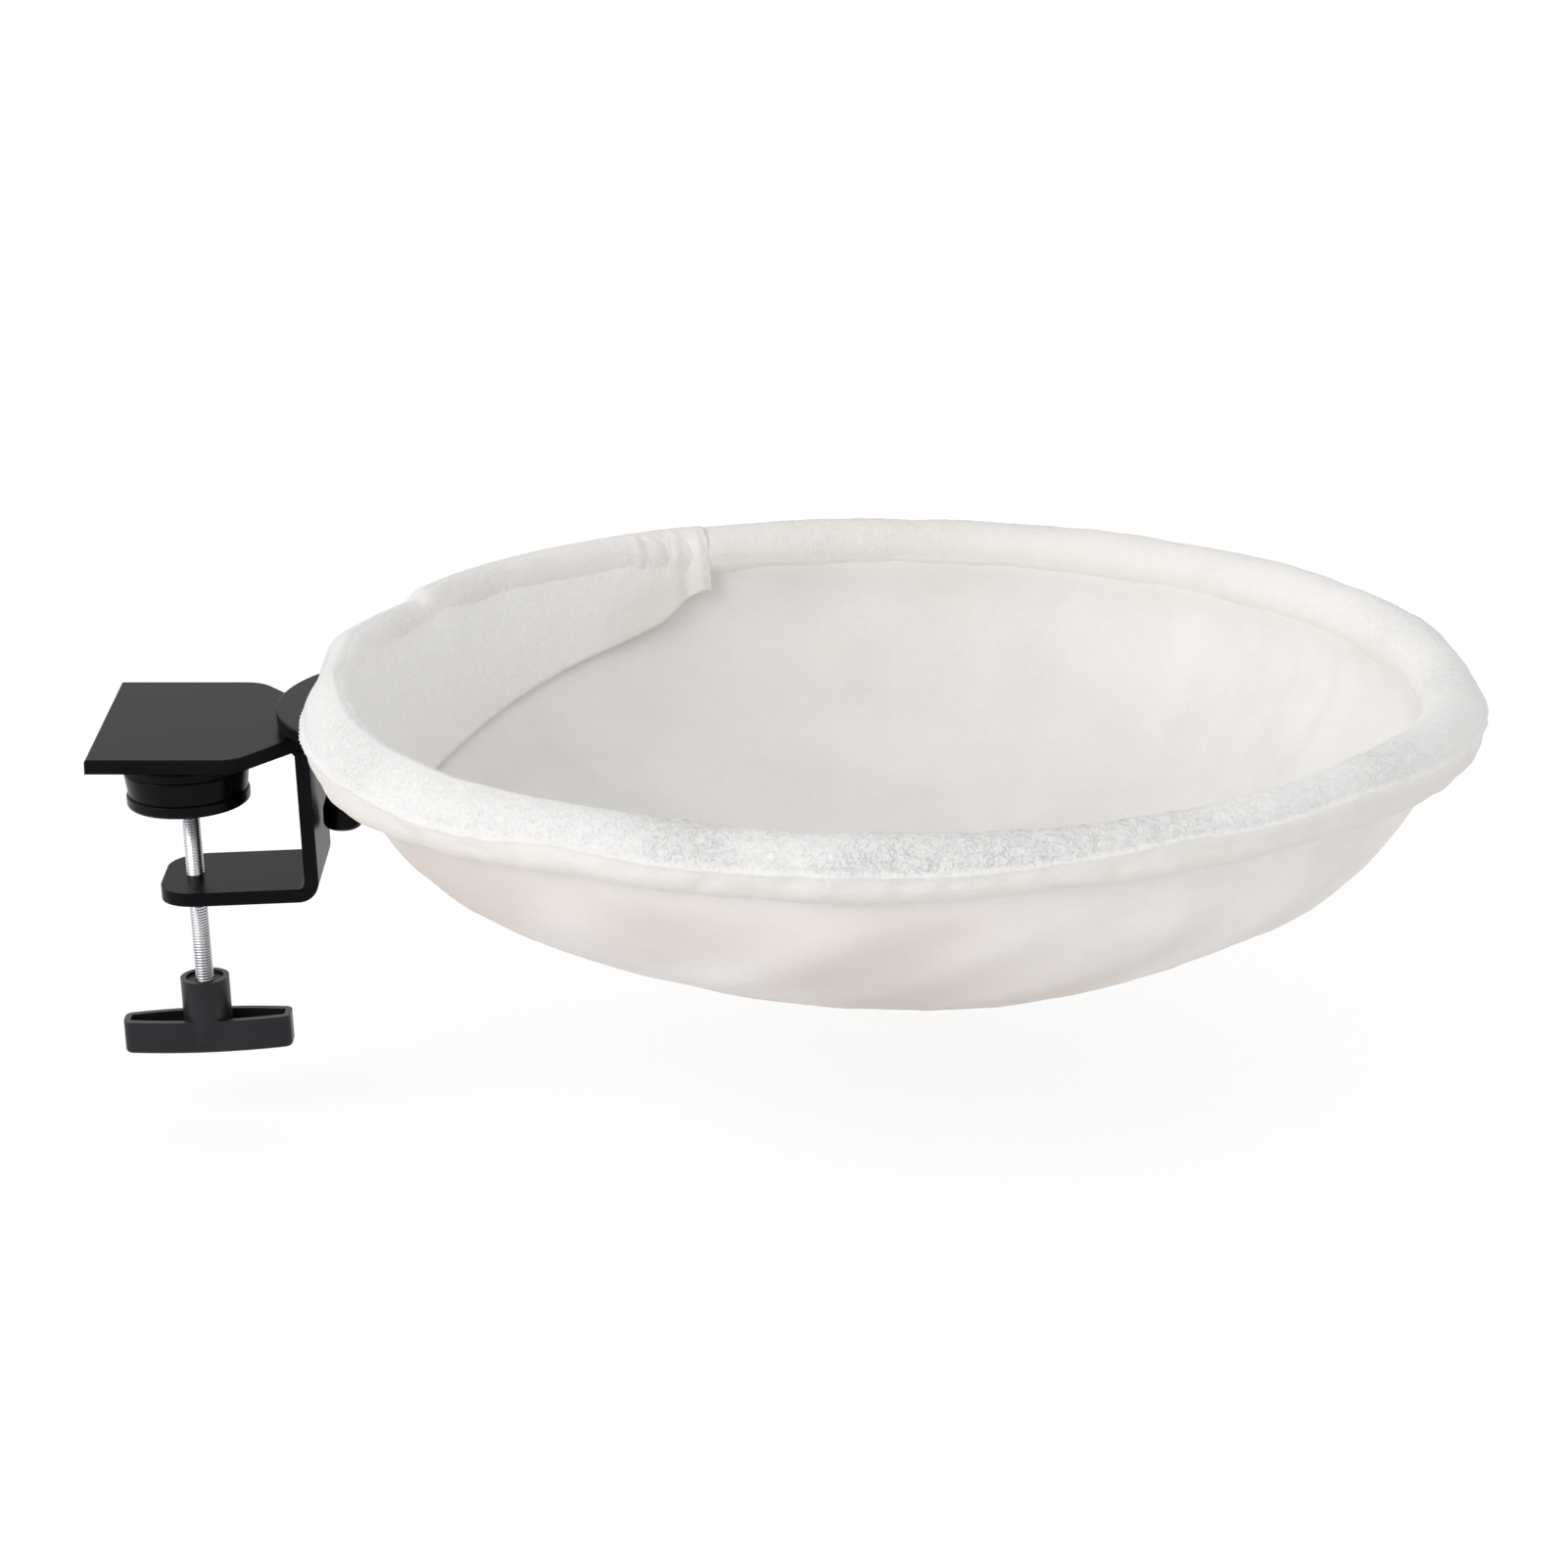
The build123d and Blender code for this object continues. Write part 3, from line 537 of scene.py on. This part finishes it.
def makeHemRoll():
    h = hemPile
    bm = bmesh.new()
    tubeRing(bm, hemRoll["sides"], Matrix())
    spinHoop(bm, hemRoll["steps"])
    hoops = [e for e in bm.edges if alongHoop(e)]
    bmesh.ops.subdivide_edges(bm, edges=hoops, cuts=hemRoll["cuts"], use_grid_fill=True)
    tanAndShadeShare = bm.verts.layers.float.new("tanAndShadeShare")
    curl = bm.verts.layers.float.new("curl")
    for v in bm.verts:
        angle, side = tubePlace(v.co)
        seam = rollShape(round(angle, 2))["seamDeg"]
        side -= hemRoll["crowdDeg"] * math.sin(math.radians(side - seam))  # denser at the seam
        place = rollPoint(angle, side)
        v.co = rollPoint(angle, side, pileLift(place, angle, side))
        away = halfTurn(side - seam)
        # Painted shade: tan under the seam, on the inside of the roll and on its back
        v[tanAndShadeShare] = h["shadeBelow"] * (1 - smoothStep(*h["shadeBelowAt"], away))
        v[tanAndShadeShare] += h["shadeInside"] * smoothStep(*h["shadeInsideAt"], away)
        v[tanAndShadeShare] += (h["shadeBack"] * near(angle, *h["shadeBackDeg"])
                      * smoothStep(*h["shadeBackAt"], away))
        rise = (1 - h["weltCurl"]) * smoothStep(*h["starts"], away)
        v[curl] = curlShare(place, angle) * (h["weltCurl"] + rise)
    bmesh.ops.recalc_face_normals(bm, faces=bm.faces)
    roll = newPiece(bm, "hemRoll", finishes["white_plush"], "bed")
    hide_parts("hem_cover")


foamTube = {"share": 0.74, "wall": 0.0022, "gapDeg": 6.0, "steps": 200, "sides": 24}


def makeFoamTube():
    # The sleeve of foam inside the roll, open at the hub like the real one
    bm = bmesh.new()
    hub = Matrix.Translation((bedX, 0, 0))
    turn = hub @ Matrix.Rotation(math.radians(foamTube["gapDeg"] - 180), 4, "Z") @ hub.inverted()
    tubeRing(bm, foamTube["sides"], turn)
    bmesh.ops.spin(bm, geom=bm.verts[:] + bm.edges[:], cent=(bedX, 0, 0), axis=(0, 0, 1),
                   angle=math.radians(360 - 2 * foamTube["gapDeg"]), steps=foamTube["steps"])
    for v in bm.verts:
        angle, side = tubePlace(v.co)
        middle = atPolar(angle, hoopRadius, rimZ + bedSag)
        v.co = middle.lerp(rollPoint(angle, side), foamTube["share"])
    bmesh.ops.recalc_face_normals(bm, faces=bm.faces)
    tube = newPiece(bm, "foamTube", finishes["padding_foam"], "bed")
    addWall(tube, foamTube["wall"])
    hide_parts("foam_ring")


# Hanging bowl: a soft shoulder under the rim and one flat arc below it. A dip is how far a
# place is below the rim, in degrees round the shoulder's centre. A fold is where its foot is on
# the hoop, how far it slants, its width, all in degrees, and its height in mm

bowl = {
    "depth": 0.1205, "shoulder": 0.090, "rings": 96, "steps": 320, "flat": 0.56,
    "wall": 0.0024, "liningWall": 0.0016, "gap": 0.0004,
    "slack": 0.0045, "slackDip": (12, 58), "slackLeft": 0.0012, "slackLeftDeg": (228, 25),
    "hollows": ((0.0062, (345, 26), (34, 22)), (0.0045, (316, 18), (60, 22))),
}
bowlCover = {
    "start": 0.02, "tuck": 0.0012, "foldDip": (17, 46),
    "folds": ((250, 15, 5.2, 1.9), (266, 15, 4.6, 1.7), (283, 15, 5.6, 2.1),
              (301, 14, 4.8, 1.7), (228, 10, 6.0, 1.3), (322, 10, 6.0, 1.4)),
    "softSize": 0.06, "softSeed": 12, "soft": 0.0014, "lumps": ((0.0006, 0.022, 13),),
    "weave": ((0.00022, 0.007, 14),),
    # Tan on the cover: painted shade in the fold valleys, a random mottle, less of it on the right
    # as painted light, and none near the rim
    "tanAndShade": 0.74, "foldShade": 220, "softTan": 0.9, "rightLight": 0.95, "rightLightDeg": (328, 36),
    "mostTanAndShade": 0.9, "tanAndShadeDip": (6, 20),
}
bowlLining = {
    "foldDip": (16, 52), "tuck": 0.0014,
    "folds": ((23, 1.5, 2.0, 3.8), (31, 1.5, 1.6, 4.2), (39.5, 1.5, 2.0, 4.4),
              (48, 2, 2.6, 2.8), (10, 1, 2.8, 2.2), (74, 2, 3.6, 1.4)),
    "softSize": 0.055, "softSeed": 22, "soft": 0.0009, "lumps": ((0.0005, 0.02, 23),),
    "nap": ((0.0003, 0.008, 24),), "flapDeg": ((104, 112), (248, 256)), "flapCalm": 0.8,
    "crease": 0.0062, "creaseDip": (-1.2, 3.6), "creaseEnd": (0, 24), "creaseCurve": 1.4,
    "creaseCalm": 0.9,
    "meet": 0.0066, "meetDeg": ((112, 130), (230, 248)), "meetWidth": 24,
    # Tan on the lining: painted shade in the fold valleys and under the roll at the rim, with a
    # random mottle
    "tanAndShade": 0.2, "foldShade": 200, "softTan": 0.7, "mostTanAndShade": 0.4, "rimShade": 0.12, "rimShadeDip": (3, 10),
}
pocket = {"noseRadius": 0.0205, "noseLow": -0.0015, "knobRadius": 0.012, "knobLow": -0.0456}


def bowlArc():
    # How far out the shoulder's centre is, and how high the lower arc's centre is
    run = hoopRadius - bowl["shoulder"]
    drop = bowl["depth"] - bowl["shoulder"]
    return run, (run * run - drop * drop) / (2 * drop)


def bowlPlace(inset, along):
    # A point of the profile, from 0 at the rim to 1 at the bottom
    run, baseCentre = bowlArc()
    shoulder = bowl["shoulder"] - inset
    baseRadius = bowl["depth"] - inset + baseCentre
    span = baseRadius - shoulder
    joinAngle = math.acos(run / span)
    baseAngle = math.asin(run / span)
    gone = along * (shoulder * joinAngle + baseRadius * baseAngle)
    if gone < shoulder * joinAngle:
        dip = gone / shoulder
        return run + shoulder * math.cos(dip), -shoulder * math.sin(dip)
    lean = baseAngle - (gone - shoulder * joinAngle) / baseRadius
    return baseRadius * math.sin(lean), baseCentre - baseRadius * math.cos(lean)


def bowlFacing(place):
    # Where a point is on the hoop, its dip, and the way that the bowl's outside faces there
    angle, reach = polar(place)
    height = place.z - rimZ
    run, baseCentre = bowlArc()
    flat = Vector((reach - run, height))
    if height < 0 and math.atan2(-height, flat.x) > math.atan2(baseCentre, run):
        flat = Vector((reach, height - baseCentre))
    flat.normalize()
    dip = math.degrees(math.atan2(-height, max(reach - run, 1e-6)))  # 90 at the most
    turn = math.radians(angle)
    return angle, dip, Vector((flat.x * math.cos(turn), flat.x * math.sin(turn), flat.y))


def foldLift(folds, angleDeg, dip, low, high):
    # Slanting ridges of cloth between two dips, fading above and below them
    ridge = 0.0
    for foot, slant, width, height in folds:
        centre = foot + slant * (high - dip) / (high - low)
        ridge += height / 1000 * near(angleDeg, centre, width)
    return ridge * between((low - 10, low + 4), (high - 4, high + 18), dip)


def hangIn(angleDeg, dip):
    # Where the slack cloth hangs closer in than the even shape: low down, and at the right
    lift = bowl["slack"] + bowl["slackLeft"] * near(angleDeg, *bowl["slackLeftDeg"])
    lift *= smoothStep(*bowl["slackDip"], dip)
    for depth, placeDeg, placeDip in bowl["hollows"]:
        lift += depth * near(angleDeg, *placeDeg) * bell(dip, *placeDip)
    return lift


def liningIn(angleDeg, dip):
    # The lining tucks in under the roll, and comes in to meet the flap's lower edge
    s = bowlLining
    covered = between(*s["flapDeg"], angleDeg)
    edge = fromTable(hemFlap["edgeDip"], angleDeg)
    tuck = smoothStep(*s["creaseDip"], dip)
    tuck *= (1 - smoothStep(*s["creaseEnd"], dip)) ** s["creaseCurve"]
    lift = s["tuck"] + hangIn(angleDeg, dip)
    lift += s["crease"] * (1 - s["creaseCalm"] * covered) * tuck
    return lift + s["meet"] * between(*s["meetDeg"], angleDeg) * bell(dip, edge, s["meetWidth"])


def bowlShell(inset, start):
    bm = bmesh.new()
    shares = [start + (1 - start) * i / bowl["rings"] for i in range(bowl["rings"] + 1)]
    profile = [bowlPlace(inset, share) for share in shares]
    drawLine(bm, [(bedX + reach, 0, rimZ + height) for reach, height in profile])
    spinHoop(bm, bowl["steps"])
    return bm


def openPocket(bm):
    # The cloth is cut away where the clamp's nose and the knob stand
    def inside(place):
        radius = pocket["noseRadius"] if place.z > pocket["noseLow"] else pocket["knobRadius"]
        return math.hypot(place.x - pivotX, place.y) < radius and place.z > pocket["knobLow"]
    bmesh.ops.delete(bm, geom=[v for v in bm.verts if inside(v.co)], context="VERTS")


def makeBowlCover():
    s = bowlCover
    bm = bowlShell(0, s["start"])
    tanAndShadeShare = bm.verts.layers.float.new("tanAndShadeShare")
    for v in bm.verts:
        angle, dip, facing = bowlFacing(v.co)
        fold = foldLift(s["folds"], angle, dip, *s["foldDip"])
        soft = lumps(v.co, s["softSize"], s["softSeed"])
        lift = fold - s["tuck"] + s["soft"] * soft + layered(lumps, v.co, s["lumps"])
        lift -= hangIn(angle, dip)
        # Painted shade darkens the fold valleys, painted light brightens the right side, and the
        # soft lumps give a random tan mottle
        tanAndShade = s["tanAndShade"] - s["foldShade"] * fold + s["softTan"] * soft
        tanAndShade -= s["rightLight"] * near(angle, *s["rightLightDeg"])
        v[tanAndShadeShare] = s["mostTanAndShade"] * min(max(tanAndShade, 0), 1) * smoothStep(*s["tanAndShadeDip"], dip)
        v.co += facing * (lift + layered(lumps, v.co, s["weave"]))
    openPocket(bm)
    bmesh.ops.recalc_face_normals(bm, faces=bm.faces)
    piece = newPiece(bm, "bowlCover", finishes["white_cloth"], "bed")
    addWall(piece, bowl["wall"])
    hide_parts("bowl_cover")


def makeBowlLining():
    s = bowlLining
    bm = bowlShell(bowl["wall"] + bowl["gap"], 0)
    tanAndShadeShare = bm.verts.layers.float.new("tanAndShadeShare")
    for v in bm.verts:
        angle, dip, facing = bowlFacing(v.co)
        fold = foldLift(s["folds"], angle, dip, *s["foldDip"])
        soft = lumps(v.co, s["softSize"], s["softSeed"])
        calm = 1 - s["flapCalm"] * between(*s["flapDeg"], angle)
        lift = liningIn(angle, dip) + fold
        lift += calm * (s["soft"] * soft + layered(lumps, v.co, s["lumps"]))
        # Painted shade in the fold valleys and at the rim under the roll, with a random tan mottle
        tanAndShade = s["tanAndShade"] - s["foldShade"] * fold + s["softTan"] * soft
        v[tanAndShadeShare] = s["mostTanAndShade"] * min(max(tanAndShade, 0), 1)
        v[tanAndShadeShare] += s["rimShade"] * (1 - smoothStep(*s["rimShadeDip"], dip))
        v.co -= facing * (lift + layered(lumps, v.co, s["nap"]))
    openPocket(bm)
    bmesh.ops.recalc_face_normals(bm, faces=bm.faces)
    piece = newPiece(bm, "bowlLining", liningShadedPlush, "bed")
    addWall(piece, bowl["liningWall"])
    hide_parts("bowl_lining")


# Flap that hangs inside the left of the rim and hides the clamp. Along runs from 0 on top of
# the roll to 1 at the lower edge. The tables give where the flap leaves the roll, its lower
# edge's dip, and that edge's gap over the lining in mm

hemFlap = {
    "startDeg": 111.2, "endDeg": 248.8, "columns": 430, "rows": 62, "wall": 0.0018,
    "leaveDeg": ((-180, 84), (-130, 90), (-112, 118), (0, 118), (111, 118), (117, 104),
                 (124, 88)),
    "edgeDip": ((-180, 40), (-162, 40), (-151, 37), (-134, 29), (-119, 20), (-112, 10),
                (0, 10), (112, 10), (119, 20), (134, 29), (151, 37), (162, 40)),
    "edgeGap": ((-180, 1.8), (-146, 1.8), (-136, 2.6), (-124, 4.2), (-112, 6.6), (0, 6.2),
                (112, 6.2), (124, 3.0), (134, 1.8), (162, 1.8)),
    "beginDeg": 38, "onRoll": 0.24, "offset": 0.0009, "offsetBy": 0.6, "beginTuck": 0.0012,
    "swell": 0.0007, "swellDeg": (115, 6),
    "slopeDeg": 4, "roundLength": 0.0058, "belly": 0.0125, "bellyDip": (8, 34), "bellyAt": 0.27,
    "facingHeight": 0.06, "freeFrom": (0.18, 0.5), "rollUntil": (0.24, 0.5),
    "lumps": ((0.0009, 0.042, 31), (0.0006, 0.016, 32)), "edgeCalm": 0.7, "calmFrom": (0.7, 0.95),
    "tufts": ((0.0003, 0.0042, 33), (0.0002, 0.0023, 34)),
    "gatherDeg": 113.5, "gatherFanDeg": 3.5, "gatherWidthDeg": 5.5, "frontGatherDeg": (246.5, 5),
    "ridge": 0.0014, "ridgeDeg": (112.4, 0.9), "ridgeFrom": (0.1, 0.5),
    "groove": 0.0016, "grooveDeg": (114.4, 0.8), "grooveFrom": (0.2, 0.5),
    "hem": 0.0003, "hemAt": (0.97, 0.03),
    # Painted shade on the flap: a tan along its lower edge, in the pleats of the gather, and at the
    # back where it rides the roll
    "edgeShade": 0.3, "edgeShadeFrom": (0.75, 1), "gatherShade": 1.1, "gatherShadeDeg": (117, 9),
    "gatherShadeFrom": (0.3, 0.9), "mostShade": 1.2, "backShadeUntil": (0.2, 0.6),
    "curlUntil": (0.1, 0.4),
}


def flapPoint(angleDeg, along):
    # The flap rides over the roll, then falls in one soft line to its lower edge
    f = hemFlap
    leave = fromTable(f["leaveDeg"], angleDeg)
    if along < f["onRoll"]:
        share = along / f["onRoll"]
        side = f["beginDeg"] + (leave - f["beginDeg"]) * share
        tuck = f["offset"] * smoothStep(0, f["offsetBy"], share) - f["beginTuck"] * (1 - share)
        tuck += f["swell"] * near(angleDeg, *f["swellDeg"])
        return rollPoint(angleDeg, side, tuck)
    share = (along - f["onRoll"]) / (1 - f["onRoll"])
    start = rollPoint(angleDeg, leave, f["offset"])
    step = rollPoint(angleDeg, leave + f["slopeDeg"], f["offset"]) - start
    startReach = polar(start)[1]
    high = Vector((startReach, start.z - rimZ))
    slope = Vector((polar(start + step)[1] - startReach, step.z)).normalized()
    dip = fromTable(f["edgeDip"], angleDeg)
    gap = fromTable(f["edgeGap"], angleDeg) / 1000
    deep = bowl["shoulder"] - 2 * bowl["wall"] - liningIn(angleDeg, dip) - gap
    lowReach = hoopRadius - bowl["shoulder"] + deep * math.cos(math.radians(dip))
    lowDrop = deep * math.sin(math.radians(dip))
    belly = Vector((lowReach + f["belly"] * smoothStep(*f["bellyDip"], dip),
                    -lowDrop * f["bellyAt"]))
    left = 1 - share
    curve = (high * left ** 3 + (high + slope * f["roundLength"]) * 3 * left * left * share
             + belly * 3 * left * share * share + Vector((lowReach, -lowDrop)) * share ** 3)
    return atPolar(angleDeg, curve.x, rimZ + curve.y)


def flapRollLift(angleDeg, along):
    # Over the roll the flap has the roll's own lumps, which fade below it
    f = hemFlap
    leave = fromTable(f["leaveDeg"], angleDeg)
    side = f["beginDeg"] + (leave - f["beginDeg"]) * min(along / f["onRoll"], 1)
    lift = pileLift(rollPoint(angleDeg, side), angleDeg, side)
    return lift * (1 - smoothStep(*f["rollUntil"], along))


def flapLift(place, angleDeg, along):
    # The flap's own lumps and curls, the pleats at its ends, and a fuller lower edge
    f = hemFlap
    lift = layered(lumps, place, f["lumps"])
    lift *= 1 - f["edgeCalm"] * smoothStep(*f["calmFrom"], along)
    lift += layered(curls, place, f["tufts"])
    gatherDeg = f["gatherDeg"] + f["gatherFanDeg"] * (1 - along)
    close = near(angleDeg, gatherDeg, f["gatherWidthDeg"]) + near(angleDeg, *f["frontGatherDeg"])
    lift += close * gatherPleat(angleDeg, along)
    lift += f["ridge"] * bell(angleDeg, *f["ridgeDeg"]) * smoothStep(*f["ridgeFrom"], along)
    lift -= f["groove"] * bell(angleDeg, *f["grooveDeg"]) * smoothStep(*f["grooveFrom"], along)
    lift *= smoothStep(*f["freeFrom"], along)
    return lift + flapRollLift(angleDeg, along) + f["hem"] * bell(along, *f["hemAt"])


def makeHemFlap():
    f, h = hemFlap, hemPile
    bm = bmesh.new()
    bmesh.ops.create_grid(bm, x_segments=f["columns"], y_segments=f["rows"], size=0.5)
    tanAndShadeShare = bm.verts.layers.float.new("tanAndShadeShare")
    curl = bm.verts.layers.float.new("curl")
    for v in bm.verts:
        turn, along = v.co.x + 0.5, 0.5 - v.co.y
        angle = f["startDeg"] + (f["endDeg"] - f["startDeg"]) * turn
        place = flapPoint(angle, along)
        inward = (Vector((bedX, 0, rimZ + f["facingHeight"])) - place).normalized()
        # Painted shade: tan along the lower edge, in the gather's pleats, and where the flap rides
        # the roll at the back
        tanAndShade = near(angle, *f["gatherShadeDeg"]) * smoothStep(*f["gatherShadeFrom"], along)
        edge = f["edgeShade"] * smoothStep(*f["edgeShadeFrom"], along)
        v[tanAndShadeShare] = min(edge + f["gatherShade"] * tanAndShade, f["mostShade"])
        v[tanAndShadeShare] += (h["shadeBack"] * near(angle, *h["shadeBackDeg"])
                      * (1 - smoothStep(*f["backShadeUntil"], along)))
        more = (curlShare(place, angle) - h["leastCurl"]) * (1 - smoothStep(*f["curlUntil"], along))
        v[curl] = h["leastCurl"] + more
        v.co = place + inward * flapLift(place, angle, along)
    bmesh.ops.recalc_face_normals(bm, faces=bm.faces)
    if sum(face.normal.z for face in bm.faces) < 0:
        bmesh.ops.reverse_faces(bm, faces=bm.faces)
    flap = newPiece(bm, "hemFlap", finishes["white_plush"], "bed")
    addWall(flap, f["wall"])
    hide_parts("hem_flap")


# Threaded rod of the clamp; its profile is one pitch of thread, as shares of pitch and depth

rod = {
    "major": 0.00398, "minor": 0.00335, "pitch": 0.00125, "sides": 20, "spigot": 0.0025,
    "spigotClear": 0.0008, "coreSides": 28, "coreOver": 0.0001,
    "profile": ((0, 0), (0.14, 0), (0.46, 1), (0.6, 1), (0.92, 0), (1, 0)),
}


def makeRodThread():
    joint = next(j for j in frame["record"]["behaviour"]["joints"] if j["name"] == "screw_turn")
    lean = Vector(joint["axis"]).to_track_quat("Z", "Y").to_matrix().to_4x4()
    toWorld = Matrix.Translation(joint["pos_m"]) @ lean
    toRod = toWorld.inverted()
    places = [toRod @ v.co for v in nodes["clamp_screw"].data.vertices]
    wideFrom = rod["spigot"] + rod["spigotClear"]
    wide = [p.z for p in places if math.hypot(p.x, p.y) > wideFrom]
    low, high, tip = min(wide), max(wide), max(p.z for p in places)
    pitch, depth = rod["pitch"], rod["major"] - rod["minor"]
    bm = bmesh.new()
    drawLine(bm, [(rod["minor"] + depth * rise, 0, share * pitch)
                  for share, rise in rod["profile"]])
    bmesh.ops.spin(bm, geom=bm.verts[:] + bm.edges[:], cent=(0, 0, 0), axis=(0, 0, 1),
                   dvec=(0, 0, pitch / rod["sides"]), angle=2 * math.pi, steps=rod["sides"])
    turn = bm.verts[:] + bm.edges[:] + bm.faces[:]
    turns = int((high - low) / pitch) - 1
    for index in range(1, turns):
        made = bmesh.ops.duplicate(bm, geom=turn)["geom"]
        copied = [g for g in made if isinstance(g, bmesh.types.BMVert)]
        bmesh.ops.translate(bm, vec=(0, 0, index * pitch), verts=copied)
    bmesh.ops.translate(bm, vec=(0, 0, low), verts=bm.verts)
    bmesh.ops.remove_doubles(bm, verts=bm.verts, dist=mergeGap)
    # Painted shade: the roots of the thread are marked, to darken them
    rootShade = bm.verts.layers.float.new("rootShade")
    for v in bm.verts:
        v[rootShade] = 1 - smoothStep(rod["minor"], rod["major"], math.hypot(v.co.x, v.co.y))
    core = rod["minor"] + rod["coreOver"]
    for radius, start, end in ((core, low, high), (rod["spigot"], high, tip)):
        made = bmesh.ops.create_cone(bm, cap_ends=True, segments=rod["coreSides"], radius1=radius,
                                     radius2=radius, depth=end - start)["verts"]
        bmesh.ops.translate(bm, vec=(0, 0, (start + end) / 2), verts=made)
    bmesh.ops.recalc_face_normals(bm, faces=bm.faces)
    bmesh.ops.transform(bm, matrix=toWorld, verts=bm.verts)
    piece = newPiece(bm, "rodThread", finishes["zinc_steel"], "screw")
    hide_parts("clamp_screw")


# Camera, light and floor. A softbox is where it shines from, its width in degrees, its strength

photoView = {
    "lens": 104.56, "sensor": 36.0, "tiltDeg": 72.1, "place": (0.2566, -1.8584, 0.5776),
    "farthest": 60,
}
light = {
    "room": 0.60, "seen": 1.0,
    "leftSoftbox": ((-0.9, -0.75, 0.55), 50, 1.4),
    "topSoftbox": ((0.2, 0.35, 1.0), 60, 0.25),
    "rightSoftbox": ((0.95, -0.5, 0.02), 50, 0.6),
}
paleFloor = {"shade": 0.9, "seen": 0.34, "glow": 0.75, "half": 14, "behind": 6, "below": 0.0005}
white = (1, 1, 1, 1)


def placeCamera():
    camera = bpy.data.cameras.new("photoCamera")
    camera.lens = photoView["lens"]
    camera.sensor_width = photoView["sensor"]
    camera.clip_end = photoView["farthest"]
    holder = bpy.data.objects.new("photoCamera", camera)
    holder.location = photoView["place"]
    holder.rotation_euler = (math.radians(photoView["tiltDeg"]), 0, 0)
    bpy.context.scene.collection.objects.link(holder)
    bpy.context.scene.camera = holder


def addSoftbox(name):
    source, widthDeg, power = light[name]
    sun = bpy.data.lights.new(name, "SUN")
    sun.angle = math.radians(widthDeg)
    sun.energy = power
    holder = bpy.data.objects.new(name, sun)
    holder.rotation_euler = Vector(source).to_track_quat("Z", "Y").to_euler()
    bpy.context.scene.collection.objects.link(holder)


def seenDirectly(tree):
    # 1 for what the camera, a reflection or a clear thing shows, 0 for lighting
    path = tree.nodes.new("ShaderNodeLightPath")
    share = path.outputs["Is Camera Ray"]
    for name in ("Is Glossy Ray", "Is Transmission Ray"):
        either = tree.nodes.new("ShaderNodeMath")
        either.operation = "MAXIMUM"
        tree.links.new(share, either.inputs[0])
        tree.links.new(path.outputs[name], either.inputs[1])
        share = either.outputs[0]
    return share


def lightRoom():
    world = bpy.data.worlds.new("studio")
    bpy.context.scene.world = world
    world.use_nodes = True
    tree = world.node_tree
    room, seen = tree.nodes["Background"], tree.nodes.new("ShaderNodeBackground")
    for node, strength in ((room, light["room"]), (seen, light["seen"])):
        node.inputs["Color"].default_value = white
        node.inputs["Strength"].default_value = strength
    mix = tree.nodes.new("ShaderNodeMixShader")
    tree.links.new(seenDirectly(tree), mix.inputs["Fac"])
    tree.links.new(room.outputs["Background"], mix.inputs[1])
    tree.links.new(seen.outputs["Background"], mix.inputs[2])
    tree.links.new(mix.outputs["Shader"], tree.nodes["World Output"].inputs["Surface"])
    for name in ("leftSoftbox", "topSoftbox", "rightSoftbox"):
        addSoftbox(name)


def layFloor():
    bm = bmesh.new()
    bmesh.ops.create_grid(bm, x_segments=4, y_segments=4, size=paleFloor["half"])
    corner = (bedX, paleFloor["behind"], floorZ - paleFloor["below"])
    bmesh.ops.translate(bm, vec=corner, verts=bm.verts)
    mesh = bpy.data.meshes.new("floor")
    bm.to_mesh(mesh)
    bm.free()
    n = Nodes("paleFloor")
    shade, tone = ((grey, grey, grey, 1) for grey in (paleFloor["shade"], paleFloor["seen"]))
    n.finish(shade, roughness=0.9, Specular_IOR_Level=0.0)
    matte = n.add("ShaderNodeBsdfDiffuse", {"Color": tone})
    glow = n.add("ShaderNodeEmission", {"Color": white, "Strength": paleFloor["glow"]})
    both = n.add("ShaderNodeAddShader", {0: matte.outputs["BSDF"], 1: glow.outputs["Emission"]})
    pick = n.add("ShaderNodeMixShader", {"Fac": seenDirectly(n.tree),
                                         1: n.shader.outputs["BSDF"], 2: both.outputs["Shader"]})
    n.tree.links.new(pick.outputs["Shader"], n.tree.nodes["Material Output"].inputs["Surface"])
    mesh.materials.append(n.material)
    floor = bpy.data.objects.new("floor", mesh)
    bpy.context.scene.collection.objects.link(floor)


makeHemRoll()
makeFoamTube()
print("hem roll made")
makeBowlCover()
makeBowlLining()
print("bowl made")
makeHemFlap()
print("flap made")
makeRodThread()
print("threaded rod made")
placeCamera()
lightRoom()
layFloor()
bpy.context.scene.view_settings.view_transform = "Standard"
print("camera and light placed")
